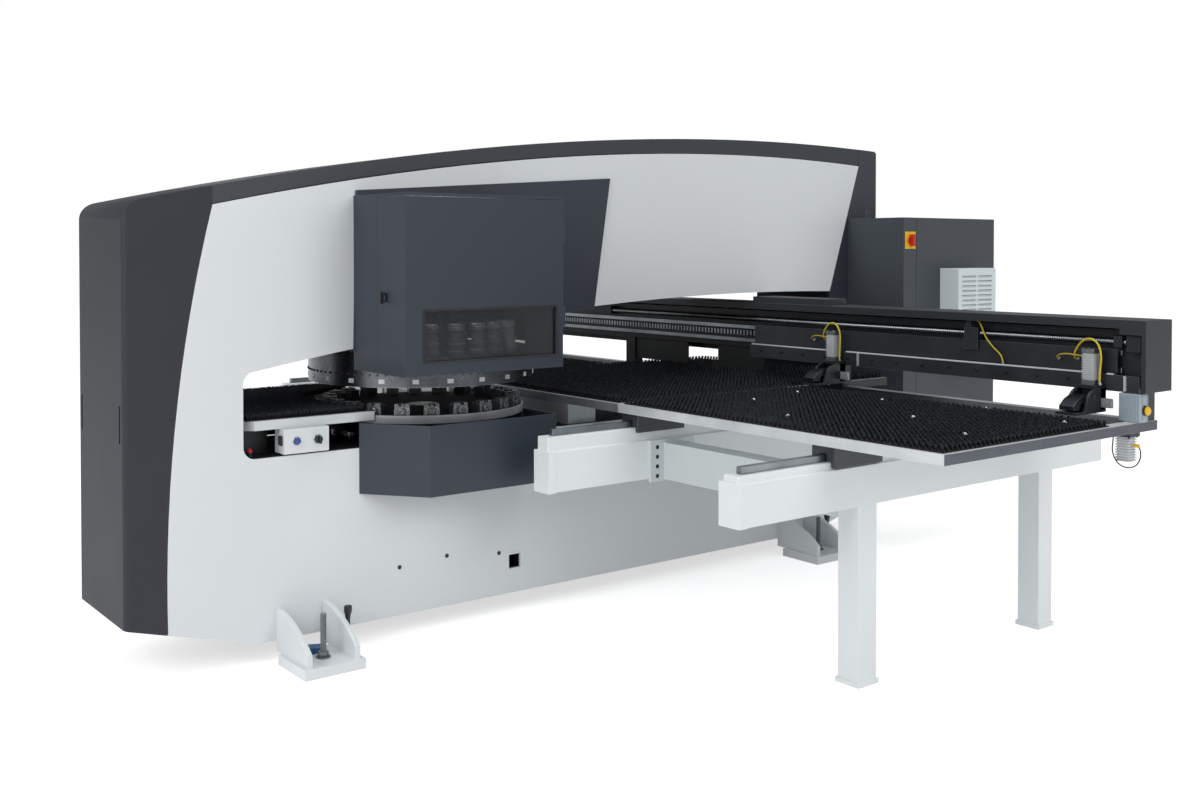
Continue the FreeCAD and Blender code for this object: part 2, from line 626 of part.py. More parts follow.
def turret():
    fit = D.shaft_clearance
    wall = D.plate_wall
    upper_top = D.upper_bottom + D.upper_height
    disc = rod(0, D.turret_y, D.upper_bottom, D.upper_radius, D.upper_height)
    hub = rod(0, D.turret_y, upper_top, D.shaft_radius * 1.9, 60)
    shaft = rod(0, D.turret_y, upper_top, D.shaft_radius, D.pocket_top + wall - upper_top)
    upper_holes = solid_feature("UpperHoles", Part.makeCompound(stations(
        D.punch_radius.value * 0.7, D.upper_height.value, D.upper_bottom.value,
        D.tool_pitch_radius.value, int(D.tool_stations.value))))
    place(upper_holes, 0, along(D.turret_y), 0)
    node("upper_turret", cut(fuse(disc, hub, shaft), upper_holes))

    lower_top = D.lower_bottom + D.lower_height
    lower_disc = rod(0, D.turret_y, D.lower_bottom, D.lower_radius, D.lower_height)
    lower_shaft = rod(0, D.turret_y, D.throat_floor - wall, D.shaft_radius,
                      D.lower_bottom - D.throat_floor + wall)
    gear_z = D.lower_bottom.value - D.ring_gear_height.value
    ring = solid_feature("RingGear", gear_shape(
        int(D.ring_teeth.value), D.tooth_module.value, D.ring_gear_height.value,
        D.shaft_radius.value * 2.2))
    place(ring, 0, along(D.turret_y), gear_z)
    node("lower_turret", fuse(lower_disc, lower_shaft, ring))

    bearings = []
    for z0 in (D.pocket_top, D.throat_floor - wall):
        sleeve = rod(0, D.turret_y, z0, D.shaft_radius * 1.6, wall)
        bearings.append(cut(sleeve, rod(0, D.turret_y, z0, D.shaft_radius + fit, wall)))
    node("turret_bearings", group(*bearings))

    punches = []
    for tool in stations(D.punch_radius.value, D.punch_height.value, upper_top.value,
                         D.tool_pitch_radius.value, int(D.tool_stations.value)):
        punches.append(tool)
    holders = solid_feature("PunchHolders", Part.makeCompound(punches))
    place(holders, 0, along(D.turret_y), 0)
    node("punch_holders", holders)

    dies = []
    for station in range(int(D.tool_stations.value)):
        turn = math.pi / 2 + 2 * math.pi * station / int(D.tool_stations.value)
        spot = FreeCAD.Vector(D.tool_pitch_radius.value * math.cos(turn),
                              D.tool_pitch_radius.value * math.sin(turn), lower_top.value)
        ring_solid = Part.makeCylinder(D.die_radius.value, D.die_height.value, spot)
        well = Part.makeCylinder(D.die_radius.value * 0.45, D.die_height.value / 3,
                                 spot + FreeCAD.Vector(0, 0, D.die_height.value * 2 / 3))
        dies.append(ring_solid.cut(well))
    die_group = solid_feature("DieHolders", Part.makeCompound(dies))
    place(die_group, 0, along(D.turret_y), 0)
    node("die_holders", die_group)

    motor_y = D.turret_y - (D.ring_teeth + D.pinion_teeth) * D.tooth_module / 2
    motor_shaft = D.shaft_radius * 0.25
    body = rod(0, motor_y, D.throat_floor - wall - 230, D.shaft_radius * 0.98, 230 + wall)
    node("turret_motor", cut(body, rod(0, motor_y, D.throat_floor - 60, motor_shaft + fit, 60)))
    pinion = solid_feature("Pinion", gear_shape(
        int(D.pinion_teeth.value), D.tooth_module.value, D.ring_gear_height.value, 8))
    half_tooth = FreeCAD.Rotation(FreeCAD.Vector(0, 0, 1), 90 + 180 / D.pinion_teeth.value)
    place(pinion, 0, along(motor_y), gear_z, half_tooth)
    stem = rod(0, motor_y, D.throat_floor - 55, motor_shaft, 55 + D.lower_bottom - D.throat_floor)
    node("motor_pinion", fuse(pinion, stem))

    ram_y = D.turret_y + D.tool_pitch_radius
    barrel = rod(0, ram_y, D.pocket_top, D.ram_cylinder_radius, D.ram_top - D.pocket_top + 60)
    node("ram_cylinder", cut(barrel, rod(0, ram_y, D.pocket_top, D.ram_radius + fit,
                                         D.ram_top - D.pocket_top + 10)))
    node("ram", rod(0, ram_y, D.ram_bottom, D.ram_radius, D.ram_top - D.ram_bottom))


# ---------------------------------------------------------------------------
# Guards around the turret
# ---------------------------------------------------------------------------
def hinge_x():
    return D.guard_x - D.knuckle_radius


def hinge_y():
    return D.guard_near_y + D.guard_width + D.knuckle_radius + 1


def hinge_heights():
    return (D.guard_bottom + 170, D.guard_top - 190)


def turret_room():
    """The round space that the upper turret and its tools turn in."""
    top = D.upper_bottom + D.upper_height + D.punch_height + D.turret_cut_gap
    return rod(0, D.turret_y, D.guard_bottom - 1, D.upper_radius + D.turret_cut_gap,
               top - D.guard_bottom)


def guards():
    wall = D.sheet_metal
    far_y = D.guard_near_y + D.guard_width
    face = side_plate([
        (D.face_near_y, D.guard_bottom + 72), (D.face_far_y, D.throat_mid_top + 4),
        (D.face_top_y, D.mid_top - 170), (D.face_near_y + 12, D.near_top + 71)], HALF, HALF + wall)
    opening = box(HALF, HALF + wall, D.guard_near_y + wall, far_y - wall,
                  D.guard_bottom, D.guard_top - wall)
    lid = box(HALF + wall, D.guard_x, D.guard_near_y, far_y, D.guard_top - wall, D.guard_top)
    near_wall = box(HALF, D.guard_seam_x - 2, D.guard_near_y, D.guard_near_y + wall,
                    D.guard_bottom, D.guard_top)
    far_wall = cut(box(HALF, D.guard_x - wall - 2, far_y - wall, far_y, D.guard_bottom, D.guard_top),
                   turret_room())
    knuckles = []
    for z in hinge_heights():
        knuckles.append(rod(hinge_x(), hinge_y(), z + D.knuckle_length + D.knuckle_gap,
                            D.knuckle_radius, D.knuckle_length))
        knuckles.append(box(hinge_x() - 24, hinge_x(), far_y, hinge_y() - 2,
                            z + D.knuckle_length + D.knuckle_gap,
                            z + D.knuckle_length * 2 + D.knuckle_gap))
    front_box = fuse(cut(face, opening, turret_room()), lid, near_wall, far_wall, *knuckles)
    rear = [
        box(-D.guard_x, -HALF, D.guard_near_y, far_y, D.guard_top - wall, D.guard_top),
        box(-D.guard_x, -HALF, D.guard_near_y, D.guard_near_y + wall, D.guard_bottom, D.guard_top),
        cut(box(-D.guard_x, -HALF, far_y - wall, far_y, D.guard_bottom, D.guard_top), turret_room()),
        box(-D.guard_x, -D.guard_x + wall, D.guard_near_y, far_y, D.guard_bottom, D.guard_top),
    ]
    node("turret_guard_boxes", group(front_box, fuse(*rear)))

    door_top = D.guard_top - wall - 2
    leaf = box(D.guard_x - wall, D.guard_x, D.guard_near_y, far_y, D.guard_bottom, door_top)
    returned = box(D.guard_seam_x, D.guard_x, D.guard_near_y, D.guard_near_y + wall,
                   D.guard_bottom, door_top)
    sight = box(D.guard_x - wall - 1, D.guard_x + 1, D.window_y, D.window_y + D.window_width,
                D.window_bottom, D.window_bottom + D.window_height)
    knob_hole = rod(D.latch_x, D.guard_near_y - 1, D.latch_z, 8.05, wall + 2, "y")
    door_knuckles = []
    for z in hinge_heights():
        door_knuckles.append(rod(hinge_x(), hinge_y(), z, D.knuckle_radius, D.knuckle_length))
        door_knuckles.append(box(hinge_x() - 3, hinge_x() + D.knuckle_radius, far_y - 2,
                                 hinge_y(), z, z + D.knuckle_length))
    node("guard_door", cut(fuse(leaf, returned, *door_knuckles), sight, knob_hole))
    lap = 12
    pane_x = D.guard_x - wall
    node("guard_window", box(pane_x - 4, pane_x, D.window_y - lap, D.window_y + D.window_width + lap,
                             D.window_bottom - lap, D.window_bottom + D.window_height + lap))
    spindle = rod(D.latch_x, D.guard_near_y - 10, D.latch_z, 8, wall + 10, "y")
    rose = rod(D.latch_x, D.guard_near_y - 12, D.latch_z, 19, 11.7, "y")
    lever = box(D.latch_x - 5, D.latch_x + 5, D.guard_near_y - 22, D.guard_near_y - 12,
                D.latch_z - 24, D.latch_z + 24)
    node("door_latch", fuse(spindle, rose, lever))

    thin = D.thin_sheet
    outer = padded("XY_Plane", [
        (0, 0), (D.lower_guard_x - HALF, D.lower_guard_bend_y - D.lower_guard_near_y),
        (D.lower_guard_x - HALF, D.lower_guard_far_y - D.lower_guard_near_y),
        (0, D.lower_guard_far_y - D.lower_guard_near_y)],
        D.lower_guard_top - D.lower_guard_bottom, x=HALF, y=D.lower_guard_near_y,
        z=D.lower_guard_bottom)
    inner = padded("XY_Plane", [
        (0, thin * 1.7), (D.lower_guard_x - HALF - thin,
                          D.lower_guard_bend_y - D.lower_guard_near_y + thin * 0.6),
        (D.lower_guard_x - HALF - thin, D.lower_guard_far_y - D.lower_guard_near_y - thin),
        (0, D.lower_guard_far_y - D.lower_guard_near_y - thin)],
        D.lower_guard_top - D.lower_guard_bottom, x=HALF, y=D.lower_guard_near_y,
        z=D.lower_guard_bottom + thin)
    front = cut(outer, inner)
    mirror = doc.addObject("Part::Mirroring", "RearGuard")
    mirror.Source = front
    mirror.Normal = (1, 0, 0)
    node("lower_turret_guards", group(front, mirror))


# ---------------------------------------------------------------------------
# Brush tables
# ---------------------------------------------------------------------------
def brush_rows(x0, x1, y0, y1, blocked=()):
    """Rows of bristle tufts on strips that run along X, one solid a strip."""
    z = D.table_bottom.value + D.table_thickness.value
    pitch, width = D.bristle_pitch.value, D.tuft_width.value
    low, high = z + D.strip_height.value, z + D.bristle_height.value
    rows = []
    count_y = int((y1 - y0) // D.bristle_row_pitch.value)
    for row in range(count_y):
        y = y0 + (row + 0.5) * (y1 - y0) / count_y
        for run_start, run_end in clear_runs(x0, x1, y, blocked):
            tufts = int((run_end - run_start) // pitch)
            if tufts < 1:
                continue
            first = (run_start + run_end - tufts * pitch) / 2
            points = [FreeCAD.Vector(first, 0, z)]
            for tuft in range(tufts):
                middle = first + (tuft + 0.5) * pitch
                points.append(FreeCAD.Vector(middle - width / 2, 0, low))
                points.append(FreeCAD.Vector(middle - width / 4, 0, high))
                points.append(FreeCAD.Vector(middle + width / 4, 0, high))
                points.append(FreeCAD.Vector(middle + width / 2, 0, low))
            points.append(FreeCAD.Vector(first + tufts * pitch, 0, z))
            points.append(points[0])
            comb = Part.Face(Part.makePolygon(points)).extrude(
                FreeCAD.Vector(0, D.strip_width.value, 0))
            comb.translate(FreeCAD.Vector(0, y - D.strip_width.value / 2, 0))
            rows.append(comb)
    return rows


def clear_runs(x0, x1, y, blocked):
    """Stretches of a row that miss a round cut-out (x, y, radius)."""
    for centre_x, centre_y, radius in blocked:
        if abs(y - centre_y) < radius:
            reach = math.sqrt(radius ** 2 - (y - centre_y) ** 2)
            return [(x0, centre_x - reach), (centre_x + reach, x1)]
    return [(x0, x1)]


def table_slab(x0, x1, y0, y1):
    return box(x0, x1, y0, y1, D.table_bottom, D.table_bottom + D.table_thickness)


def tables():
    margin = 14
    turret_cut = rod(0, D.turret_y, D.table_bottom - 5, D.lower_radius + D.turret_cut_gap,
                     D.table_thickness + 10)
    half = D.near_table_half
    chamfer = D.near_table_chamfer
    corner = padded("XY_Plane", [(0, 0), (chamfer, 0), (chamfer, chamfer)], D.table_thickness,
                    x=half - chamfer, y=D.near_table_y, z=D.table_bottom)
    near_slab = cut(table_slab(-half, half, D.near_table_y, D.turret_y), turret_cut, corner)
    near_feet = [box(x - 30, x + 30, D.near_table_y + 40, D.near_table_y + 140,
                     D.throat_floor, D.table_bottom) for x in (-half + 90, half - 150)]
    middle = D.centre_table_half
    centre_slab = table_slab(-middle, middle, D.table_near_y, D.centre_table_far_y)
    pedestals = [box(-STEEL + 20, STEEL - 20, y, y + 160, D.throat_floor, D.table_bottom)
                 for y in (D.table_near_y + 60, D.centre_table_far_y - 400)]
    node("fixed_tables", group(fuse(near_slab, *near_feet), fuse(centre_slab, *pedestals)))

    shift = ORIGIN_SHIFT.value
    near_rows = brush_rows(-half.value + margin, half.value - margin,
                           D.near_table_y.value + margin, D.turret_y.value - 60,
                           [(0, D.turret_y.value, D.lower_radius.value + 30)])
    centre_rows = brush_rows(-middle.value + margin, middle.value - margin,
                             D.table_near_y.value + margin, D.centre_table_far_y.value - margin)
    fixed = solid_feature("FixedBrushes", Part.makeCompound(near_rows + centre_rows))
    fixed.Placement = FreeCAD.Placement(FreeCAD.Vector(0, -shift, 0), FreeCAD.Rotation())
    node("fixed_brushes", fixed)

    inner_x = middle + D.table_gap
    rows = []
    for side, label in ((1, "right_table"), (-1, "left_table")):
        x0, x1 = span(side, inner_x, D.table_outer_x)
        slab = table_slab(x0, x1, D.table_near_y, D.table_far_y)
        posts = []
        for start in (inner_x + 60, D.table_outer_x - D.post_width - 10):
            p0, p1 = span(side, start, start + D.post_width)
            posts.append(box(p0, p1, D.table_far_y - D.post_depth, D.table_far_y,
                             D.table_bottom + D.table_thickness, D.girder_bottom))
        nut_parts = []
        top = fuse(slab, *posts)
        if side > 0:
            nut_y0, nut_y1 = D.feed_nut_y - 80, D.feed_nut_y - 13
            over_rail = D.rail_bottom + D.rail_height + 6
            nut = box(D.feed_x - 32, D.inner_arm_x - D.seat_width / 2 - 8, nut_y0, nut_y1,
                      D.feed_z - 30, D.table_bottom - 2)
            hanger = box(D.feed_x - 32, inner_x + 70, nut_y0, nut_y1, over_rail, D.table_bottom - 2)
            pad = box(inner_x + 1, inner_x + 70, nut_y0, nut_y1, over_rail, D.table_bottom)
            nut_parts = [nut, hanger, pad]
            screw_hole = rod(D.feed_x, D.feed_start_y, D.feed_z, D.screw_radius + D.shaft_clearance,
                             D.feed_end_y - D.feed_start_y, "y")
            pin_hole = rod(D.locator_x, D.locator_y, D.table_bottom - 1,
                           D.locator_pin_radius + D.shaft_clearance, D.table_thickness + 2)
            top = cut(fuse(top, *nut_parts), screw_hole, pin_hole)
        node(label, top)
        edge = 1030
        rows += brush_rows(x0.value + margin, x1.value - margin, D.table_near_y.value + margin,
                           D.table_near_y.value + edge)
    moving = solid_feature("TableBrushes", Part.makeCompound(rows))
    moving.Placement = FreeCAD.Placement(FreeCAD.Vector(0, -shift, 0), FreeCAD.Rotation())
    node("table_brushes", moving)


# ---------------------------------------------------------------------------
# Support arms with their rails, crossbeams and legs
# ---------------------------------------------------------------------------
def hollow_tube(x0, x1, y0, y1, z0, z1, wall):
    """A box tube along Y."""
    return cut(box(x0, x1, y0, y1, z0, z1),
               box(x0 + wall, x1 - wall, y0 - 1, y1 + 1, z0 + wall, z1 - wall))


def arm(side, centre, bottom, top):
    half = D.arm_width / 2
    x0, x1 = span(side, centre - half, centre + half)
    s0, s1 = span(side, centre - D.seat_width / 2, centre + D.seat_width / 2)
    tube = hollow_tube(x0, x1, D.arm_near_y, D.arm_far_y, bottom, top, D.arm_wall)
    seat = box(s0, s1, D.arm_near_y + 4, D.arm_far_y, top, D.rail_bottom)
    return tube, seat


def feed_bearings():
    """Two bearing blocks on the side of the right inner arm."""
    edge = D.inner_arm_x - D.arm_width / 2
    blocks = []
    shoulder = D.runner_bottom - 7
    clear_edge = D.inner_arm_x - D.runner_width / 2 - 4
    for y in (D.feed_start_y, D.feed_end_y - 30):
        block = fuse(box(D.feed_x - 30, edge, y, y + 30, D.inner_arm_top - 60, shoulder),
                     box(D.feed_x - 30, clear_edge, y, y + 30, shoulder - 1, D.feed_z + 26))
        bore = rod(D.feed_x, y - 1, D.feed_z, D.screw_radius + D.shaft_clearance, 32, "y")
        blocks.append(cut(block, bore))
    return blocks


def arms():
    inner, end_covers, rails, beams = [], [], [], []
    for side, name in ((1, "right"), (-1, "left")):
        tube, seat = arm(side, D.inner_arm_x, D.inner_arm_bottom, D.inner_arm_top)
        bearings = feed_bearings() if side > 0 else []
        inner.append(fuse(tube, seat, *bearings))
        outer_tube, outer_seat = arm(side, D.outer_arm_x, D.outer_arm_bottom, D.outer_arm_top)
        legs = []
        for y in (D.near_leg_y, D.far_leg_y):
            half = D.leg_width / 2
            x0, x1 = span(side, D.outer_arm_x - half, D.outer_arm_x + half)
            lip = D.leg_foot_lip
            legs.append(box(x0, x1, y, y + D.leg_width, D.leg_foot_height, D.outer_arm_bottom))
            legs.append(box(x0 - lip, x1 + lip, y - lip, y + D.leg_width + lip, 0, D.leg_foot_height))
        node(name + "_outer_arm", fuse(outer_tube, outer_seat, *legs))

        inner_edge = D.inner_arm_x - D.arm_width / 2
        for y in (D.near_leg_y, D.far_leg_y):
            b0, b1 = span(side, HALF, inner_edge)
            beams.append(box(b0, b1, y, y + D.leg_width, D.beam_bottom + 10, D.beam_top))
        face = D.inner_arm_x + D.arm_width / 2
        b0, b1 = span(side, face, D.outer_arm_x - D.arm_width / 2)
        f0, f1 = span(side, face, face + D.flange_wall)
        y0, y1 = D.near_leg_y, D.near_leg_y + D.leg_width
        plate = box(f0, f1, y0 - D.flange_lip, y1 + D.flange_lip, D.beam_bottom - 8, D.inner_arm_top)
        holes = []
        for y in (y0 - D.flange_lip / 2, y1 + D.flange_lip / 2):
            for number in range(4):
                holes.append(rod(f0, y, D.flange_hole_z + D.flange_pitch * number, D.flange_hole,
                                 D.flange_wall, "x"))
        beams.append(cut(fuse(box(b0, b1, y0, y1, D.beam_bottom, D.beam_top), plate), *holes))

        thick = D.end_cover_wall
        for centre, bottom, top in ((D.inner_arm_x, D.inner_arm_bottom, D.inner_arm_top),
                                    (D.outer_arm_x, D.outer_arm_bottom, D.outer_arm_top)):
            half = D.arm_width / 2
            x0, x1 = span(side, centre - half, centre + half)
            cap = box(x0 - thick, x1 + thick, D.arm_near_y - thick, D.arm_near_y + D.end_cover_length,
                      bottom - thick, top + thick)
            room = box(x0, x1, D.arm_near_y, D.arm_far_y, bottom, top)
            s0, s1 = span(side, centre - D.seat_width / 2, centre + D.seat_width / 2)
            notch = box(s0, s1, D.arm_near_y + 4, D.arm_far_y, top, D.rail_bottom)
            end_covers.append(cut(cap, room, notch))
            r0, r1 = span(side, centre - D.rail_width / 2, centre + D.rail_width / 2)
            rails.append(box(r0, r1, D.arm_near_y + D.rail_inset, D.arm_far_y - 10,
                             D.rail_bottom, D.rail_bottom + D.rail_height))
    node("inner_arms", group(*inner))
    node("crossbeams", group(*beams))
    node("arm_end_covers", group(*end_covers))
    node("table_rails", group(*rails))

    runners = []
    gap = D.runner_gap
    for side in sides():
        for centre in (D.inner_arm_x, D.outer_arm_x):
            for y, length in ((D.runner_front_y, D.front_runner_length),
                              (D.runner_mid_y, D.runner_length),
                              (D.runner_rear_y, D.runner_length)):
                x0, x1 = span(side, centre - D.runner_width / 2, centre + D.runner_width / 2)
                block = box(x0, x1, y, y + length, D.runner_bottom, D.table_bottom)
                s0, s1 = span(side, centre - D.seat_width / 2 - gap, centre + D.seat_width / 2 + gap)
                seat_room = box(s0, s1, y, y + length, D.runner_bottom, D.rail_bottom + gap)
                r0, r1 = span(side, centre - D.rail_width / 2 - gap, centre + D.rail_width / 2 + gap)
                rail_room = box(r0, r1, y, y + length, D.rail_bottom,
                                D.rail_bottom + D.rail_height + gap)
                runners.append(cut(block, seat_room, rail_room))
    node("table_runners", group(*runners))

    node("y_screw", rod(D.feed_x, D.feed_start_y - 12, D.feed_z, D.screw_radius,
                        D.feed_end_y - D.feed_start_y + 24, "y"))


# ---------------------------------------------------------------------------
# Y carriage: girder, hood, guides and screw
# ---------------------------------------------------------------------------
def y_carriage():
    half, fit = D.girder_half, D.shaft_clearance
    y0, y1 = D.girder_y, D.girder_y + D.girder_width
    z0, z1 = D.girder_bottom, D.girder_bottom + D.girder_height
    wall = D.arm_wall
    tube = cut(box(-half, half, y0, y1, z0, z1),
               box(-half - 1, half + 1, y0 + wall, y1 - wall, z0 + wall, z1 - wall))
    brackets = []
    for x in (D.screw_start + 10, D.screw_end - 50):
        bearing = box(x, x + 36, D.screw_y - 24, y0, D.screw_z - 22, D.screw_z + 24)
        brackets.append(cut(bearing, rod(x - 1, D.screw_y, D.screw_z, D.screw_radius + fit, 38, "x")))
    node("beam_girder", fuse(tube, *brackets))

    sheet_wall = D.hood_sheet
    reach = D.hood_half - D.cover_wall
    top = box(-reach, reach, D.hood_near_y, D.hood_far_y, D.hood_top - sheet_wall, D.hood_top)
    lip = box(-reach, reach, D.hood_near_y, D.hood_near_y + sheet_wall,
              D.hood_top - D.hood_lip, D.hood_top)
    back = box(-reach, reach, D.hood_far_y - sheet_wall, D.hood_far_y, D.hood_bottom, D.hood_top)
    rib_starts = (-D.girder_half + 100, -D.girder_half / 2 + 100, Size.of(0),
                  D.girder_half / 2 - 100, D.girder_half - 140)
    stiffeners = [box(x, x + 40, y0, y1, z1, D.hood_top - sheet_wall) for x in rib_starts]
    saddle = box(300, 800, D.hood_near_y + 20, D.hood_far_y - 20, D.hood_top, D.hood_top + 30)
    node("beam_hood", fuse(top, lip, back, saddle, *stiffeners))

    caps = []
    for side in sides():
        p0, p1 = span(side, D.hood_half - D.cover_wall, D.hood_half)
        plate = box(p0, p1, D.hood_near_y, D.hood_far_y, D.hood_bottom, D.hood_top)
        c0, c1 = span(side, D.hood_half - D.cap_depth, D.hood_half)
        e0, e1 = span(side, D.hood_half - D.cap_edge, D.hood_half)
        front = D.hood_near_y - D.cap_wall
        strip = box(c0, c1, front, D.hood_near_y, D.hood_top - D.cap_lip, D.hood_top)
        edge = box(e0, e1, front, D.hood_near_y, D.hood_bottom, D.hood_top)
        caps.append(fuse(plate, strip, edge))
    node("beam_end_caps", group(*caps))

    guides = [box(-D.guide_half, D.guide_half, y0 - 20, y0, z, z + D.guide_height)
              for z in (D.lower_guide_z, D.upper_guide_z)]
    node("x_guides", group(*guides))
    node("x_screw", rod(D.screw_start, D.screw_y, D.screw_z, D.screw_radius,
                        D.screw_end - D.screw_start, "x"))
    mx = D.screw_end + 8
    node("x_motor", box(mx, mx + 60, D.screw_y - 34, y0, D.screw_z - 40, D.screw_z + 30))

    ex0, ey0 = D.end_box_x, D.end_box_y
    ez = D.end_box_bottom
    face_x = ex0 + D.end_box_length
    button_y, button_z = ey0 + D.end_box_depth / 2, ez + D.end_box_height * 0.42
    case = box(ex0, face_x, ey0, ey0 + D.end_box_depth, ez - 1, ez + D.end_box_height)
    node("end_box", cut(case, rod(face_x - 22, button_y, button_z, 8.05, 23, "x")))
    stem = rod(face_x - 16, button_y, button_z, 8, 22, "x")
    mushroom = rod(face_x + 6, button_y, button_z, D.stop_button_radius, 14, "x")
    node("stop_button", fuse(stem, mushroom))

    lx, ly, size = D.locator_x, D.locator_y, D.locator_size / 2
    flange_z = D.table_bottom - 16
    mount = box(lx - size * 1.3, lx + size * 1.3, ly - size * 1.3, ly + size * 1.3,
                flange_z, D.table_bottom)
    body = box(lx - size, lx + size, ly - size, ly + size, flange_z - D.locator_height, flange_z)
    bore = rod(lx, ly, flange_z - D.locator_height + 14, D.locator_pin_radius + fit,
               D.locator_height + 30)
    node("locator_cylinder", cut(fuse(mount, body), bore))
    shift = ORIGIN_SHIFT.value
    under_hood = (D.hood_top - D.hood_sheet).value
    end = D.hood_half.value
    end_hose = [(end - 34, 3200, under_hood), (end - 34, 3200, 1286), (end - 25, 3202, 1236),
                (end - 23, 3206, 1186), (end - 46, 3224, 1152), (end - 46, D.girder_y.value, 1152)]
    table_under = D.table_bottom.value
    middle, pin_y = lx.value, ly.value
    sensor = [(middle - 54, pin_y + 4, table_under), (middle - 54, pin_y + 4, 876),
              (middle - 46, pin_y - 22, 834), (middle - 18, pin_y - 37, 794),
              (middle + 20, pin_y - 38, 776), (middle + 58, pin_y - 28, 786),
              (middle + 68, pin_y - 10, 820), (middle + 56, pin_y + 2, 862),
              (middle + size.value, pin_y + 2, 862)]
    cables = [tube_through([(a, b - shift, c) for a, b, c in route], radius)
              for route, radius in ((end_hose, 3), (sensor, 2.5))]
    node("beam_cables", solid_feature("BeamCables", Part.makeCompound(cables)))
    table_top = D.table_bottom + D.table_thickness
    pin_start = flange_z - D.locator_height + 15
    node("locator_pin", rod(lx, ly, pin_start, D.locator_pin_radius, table_top - pin_start - 2))


# ---------------------------------------------------------------------------
# X carriage with its two workholders
# ---------------------------------------------------------------------------
def tube_through(points, radius):
    """A bent tube: straight runs joined by tangent arcs."""
    vectors = [FreeCAD.Vector(*p) for p in points]
    edges, cursor, radii = [], vectors[0], []
    for before, corner, after in zip(vectors, vectors[1:], vectors[2:]):
        run_in, run_out = (before - corner), (after - corner)
        turn = math.pi - run_in.getAngle(run_out)
        bend = 0.45 * min(run_in.Length, run_out.Length) / math.tan(turn / 2)
        radii.append(bend)
        setback = bend * math.tan(turn / 2)
        start = corner + run_in.normalize() * setback
        end = corner + run_out.normalize() * setback
        inward = (start + end) * 0.5 - corner
        to_centre = bend / math.cos(turn / 2)
        middle = corner + inward.normalize() * (to_centre - bend)
        edges.append(Part.LineSegment(cursor, start).toShape())
        edges.append(Part.Arc(start, middle, end).toShape())
        cursor = end
    edges.append(Part.LineSegment(cursor, vectors[-1]).toShape())
    path = Part.Wire(edges)
    direction = vectors[1] - vectors[0]
    ring = Part.Wire([Part.makeCircle(radius, vectors[0], direction)])
    tube = path.makePipeShell([ring], True, False)
    print("hose radii", [round(r, 1) for r in radii], "volume ratio",
          round(tube.Volume / (math.pi * radius ** 2 * path.Length), 4))
    return tube


def clamp_places():
    return (D.clamp_near_x, D.clamp_far_x)


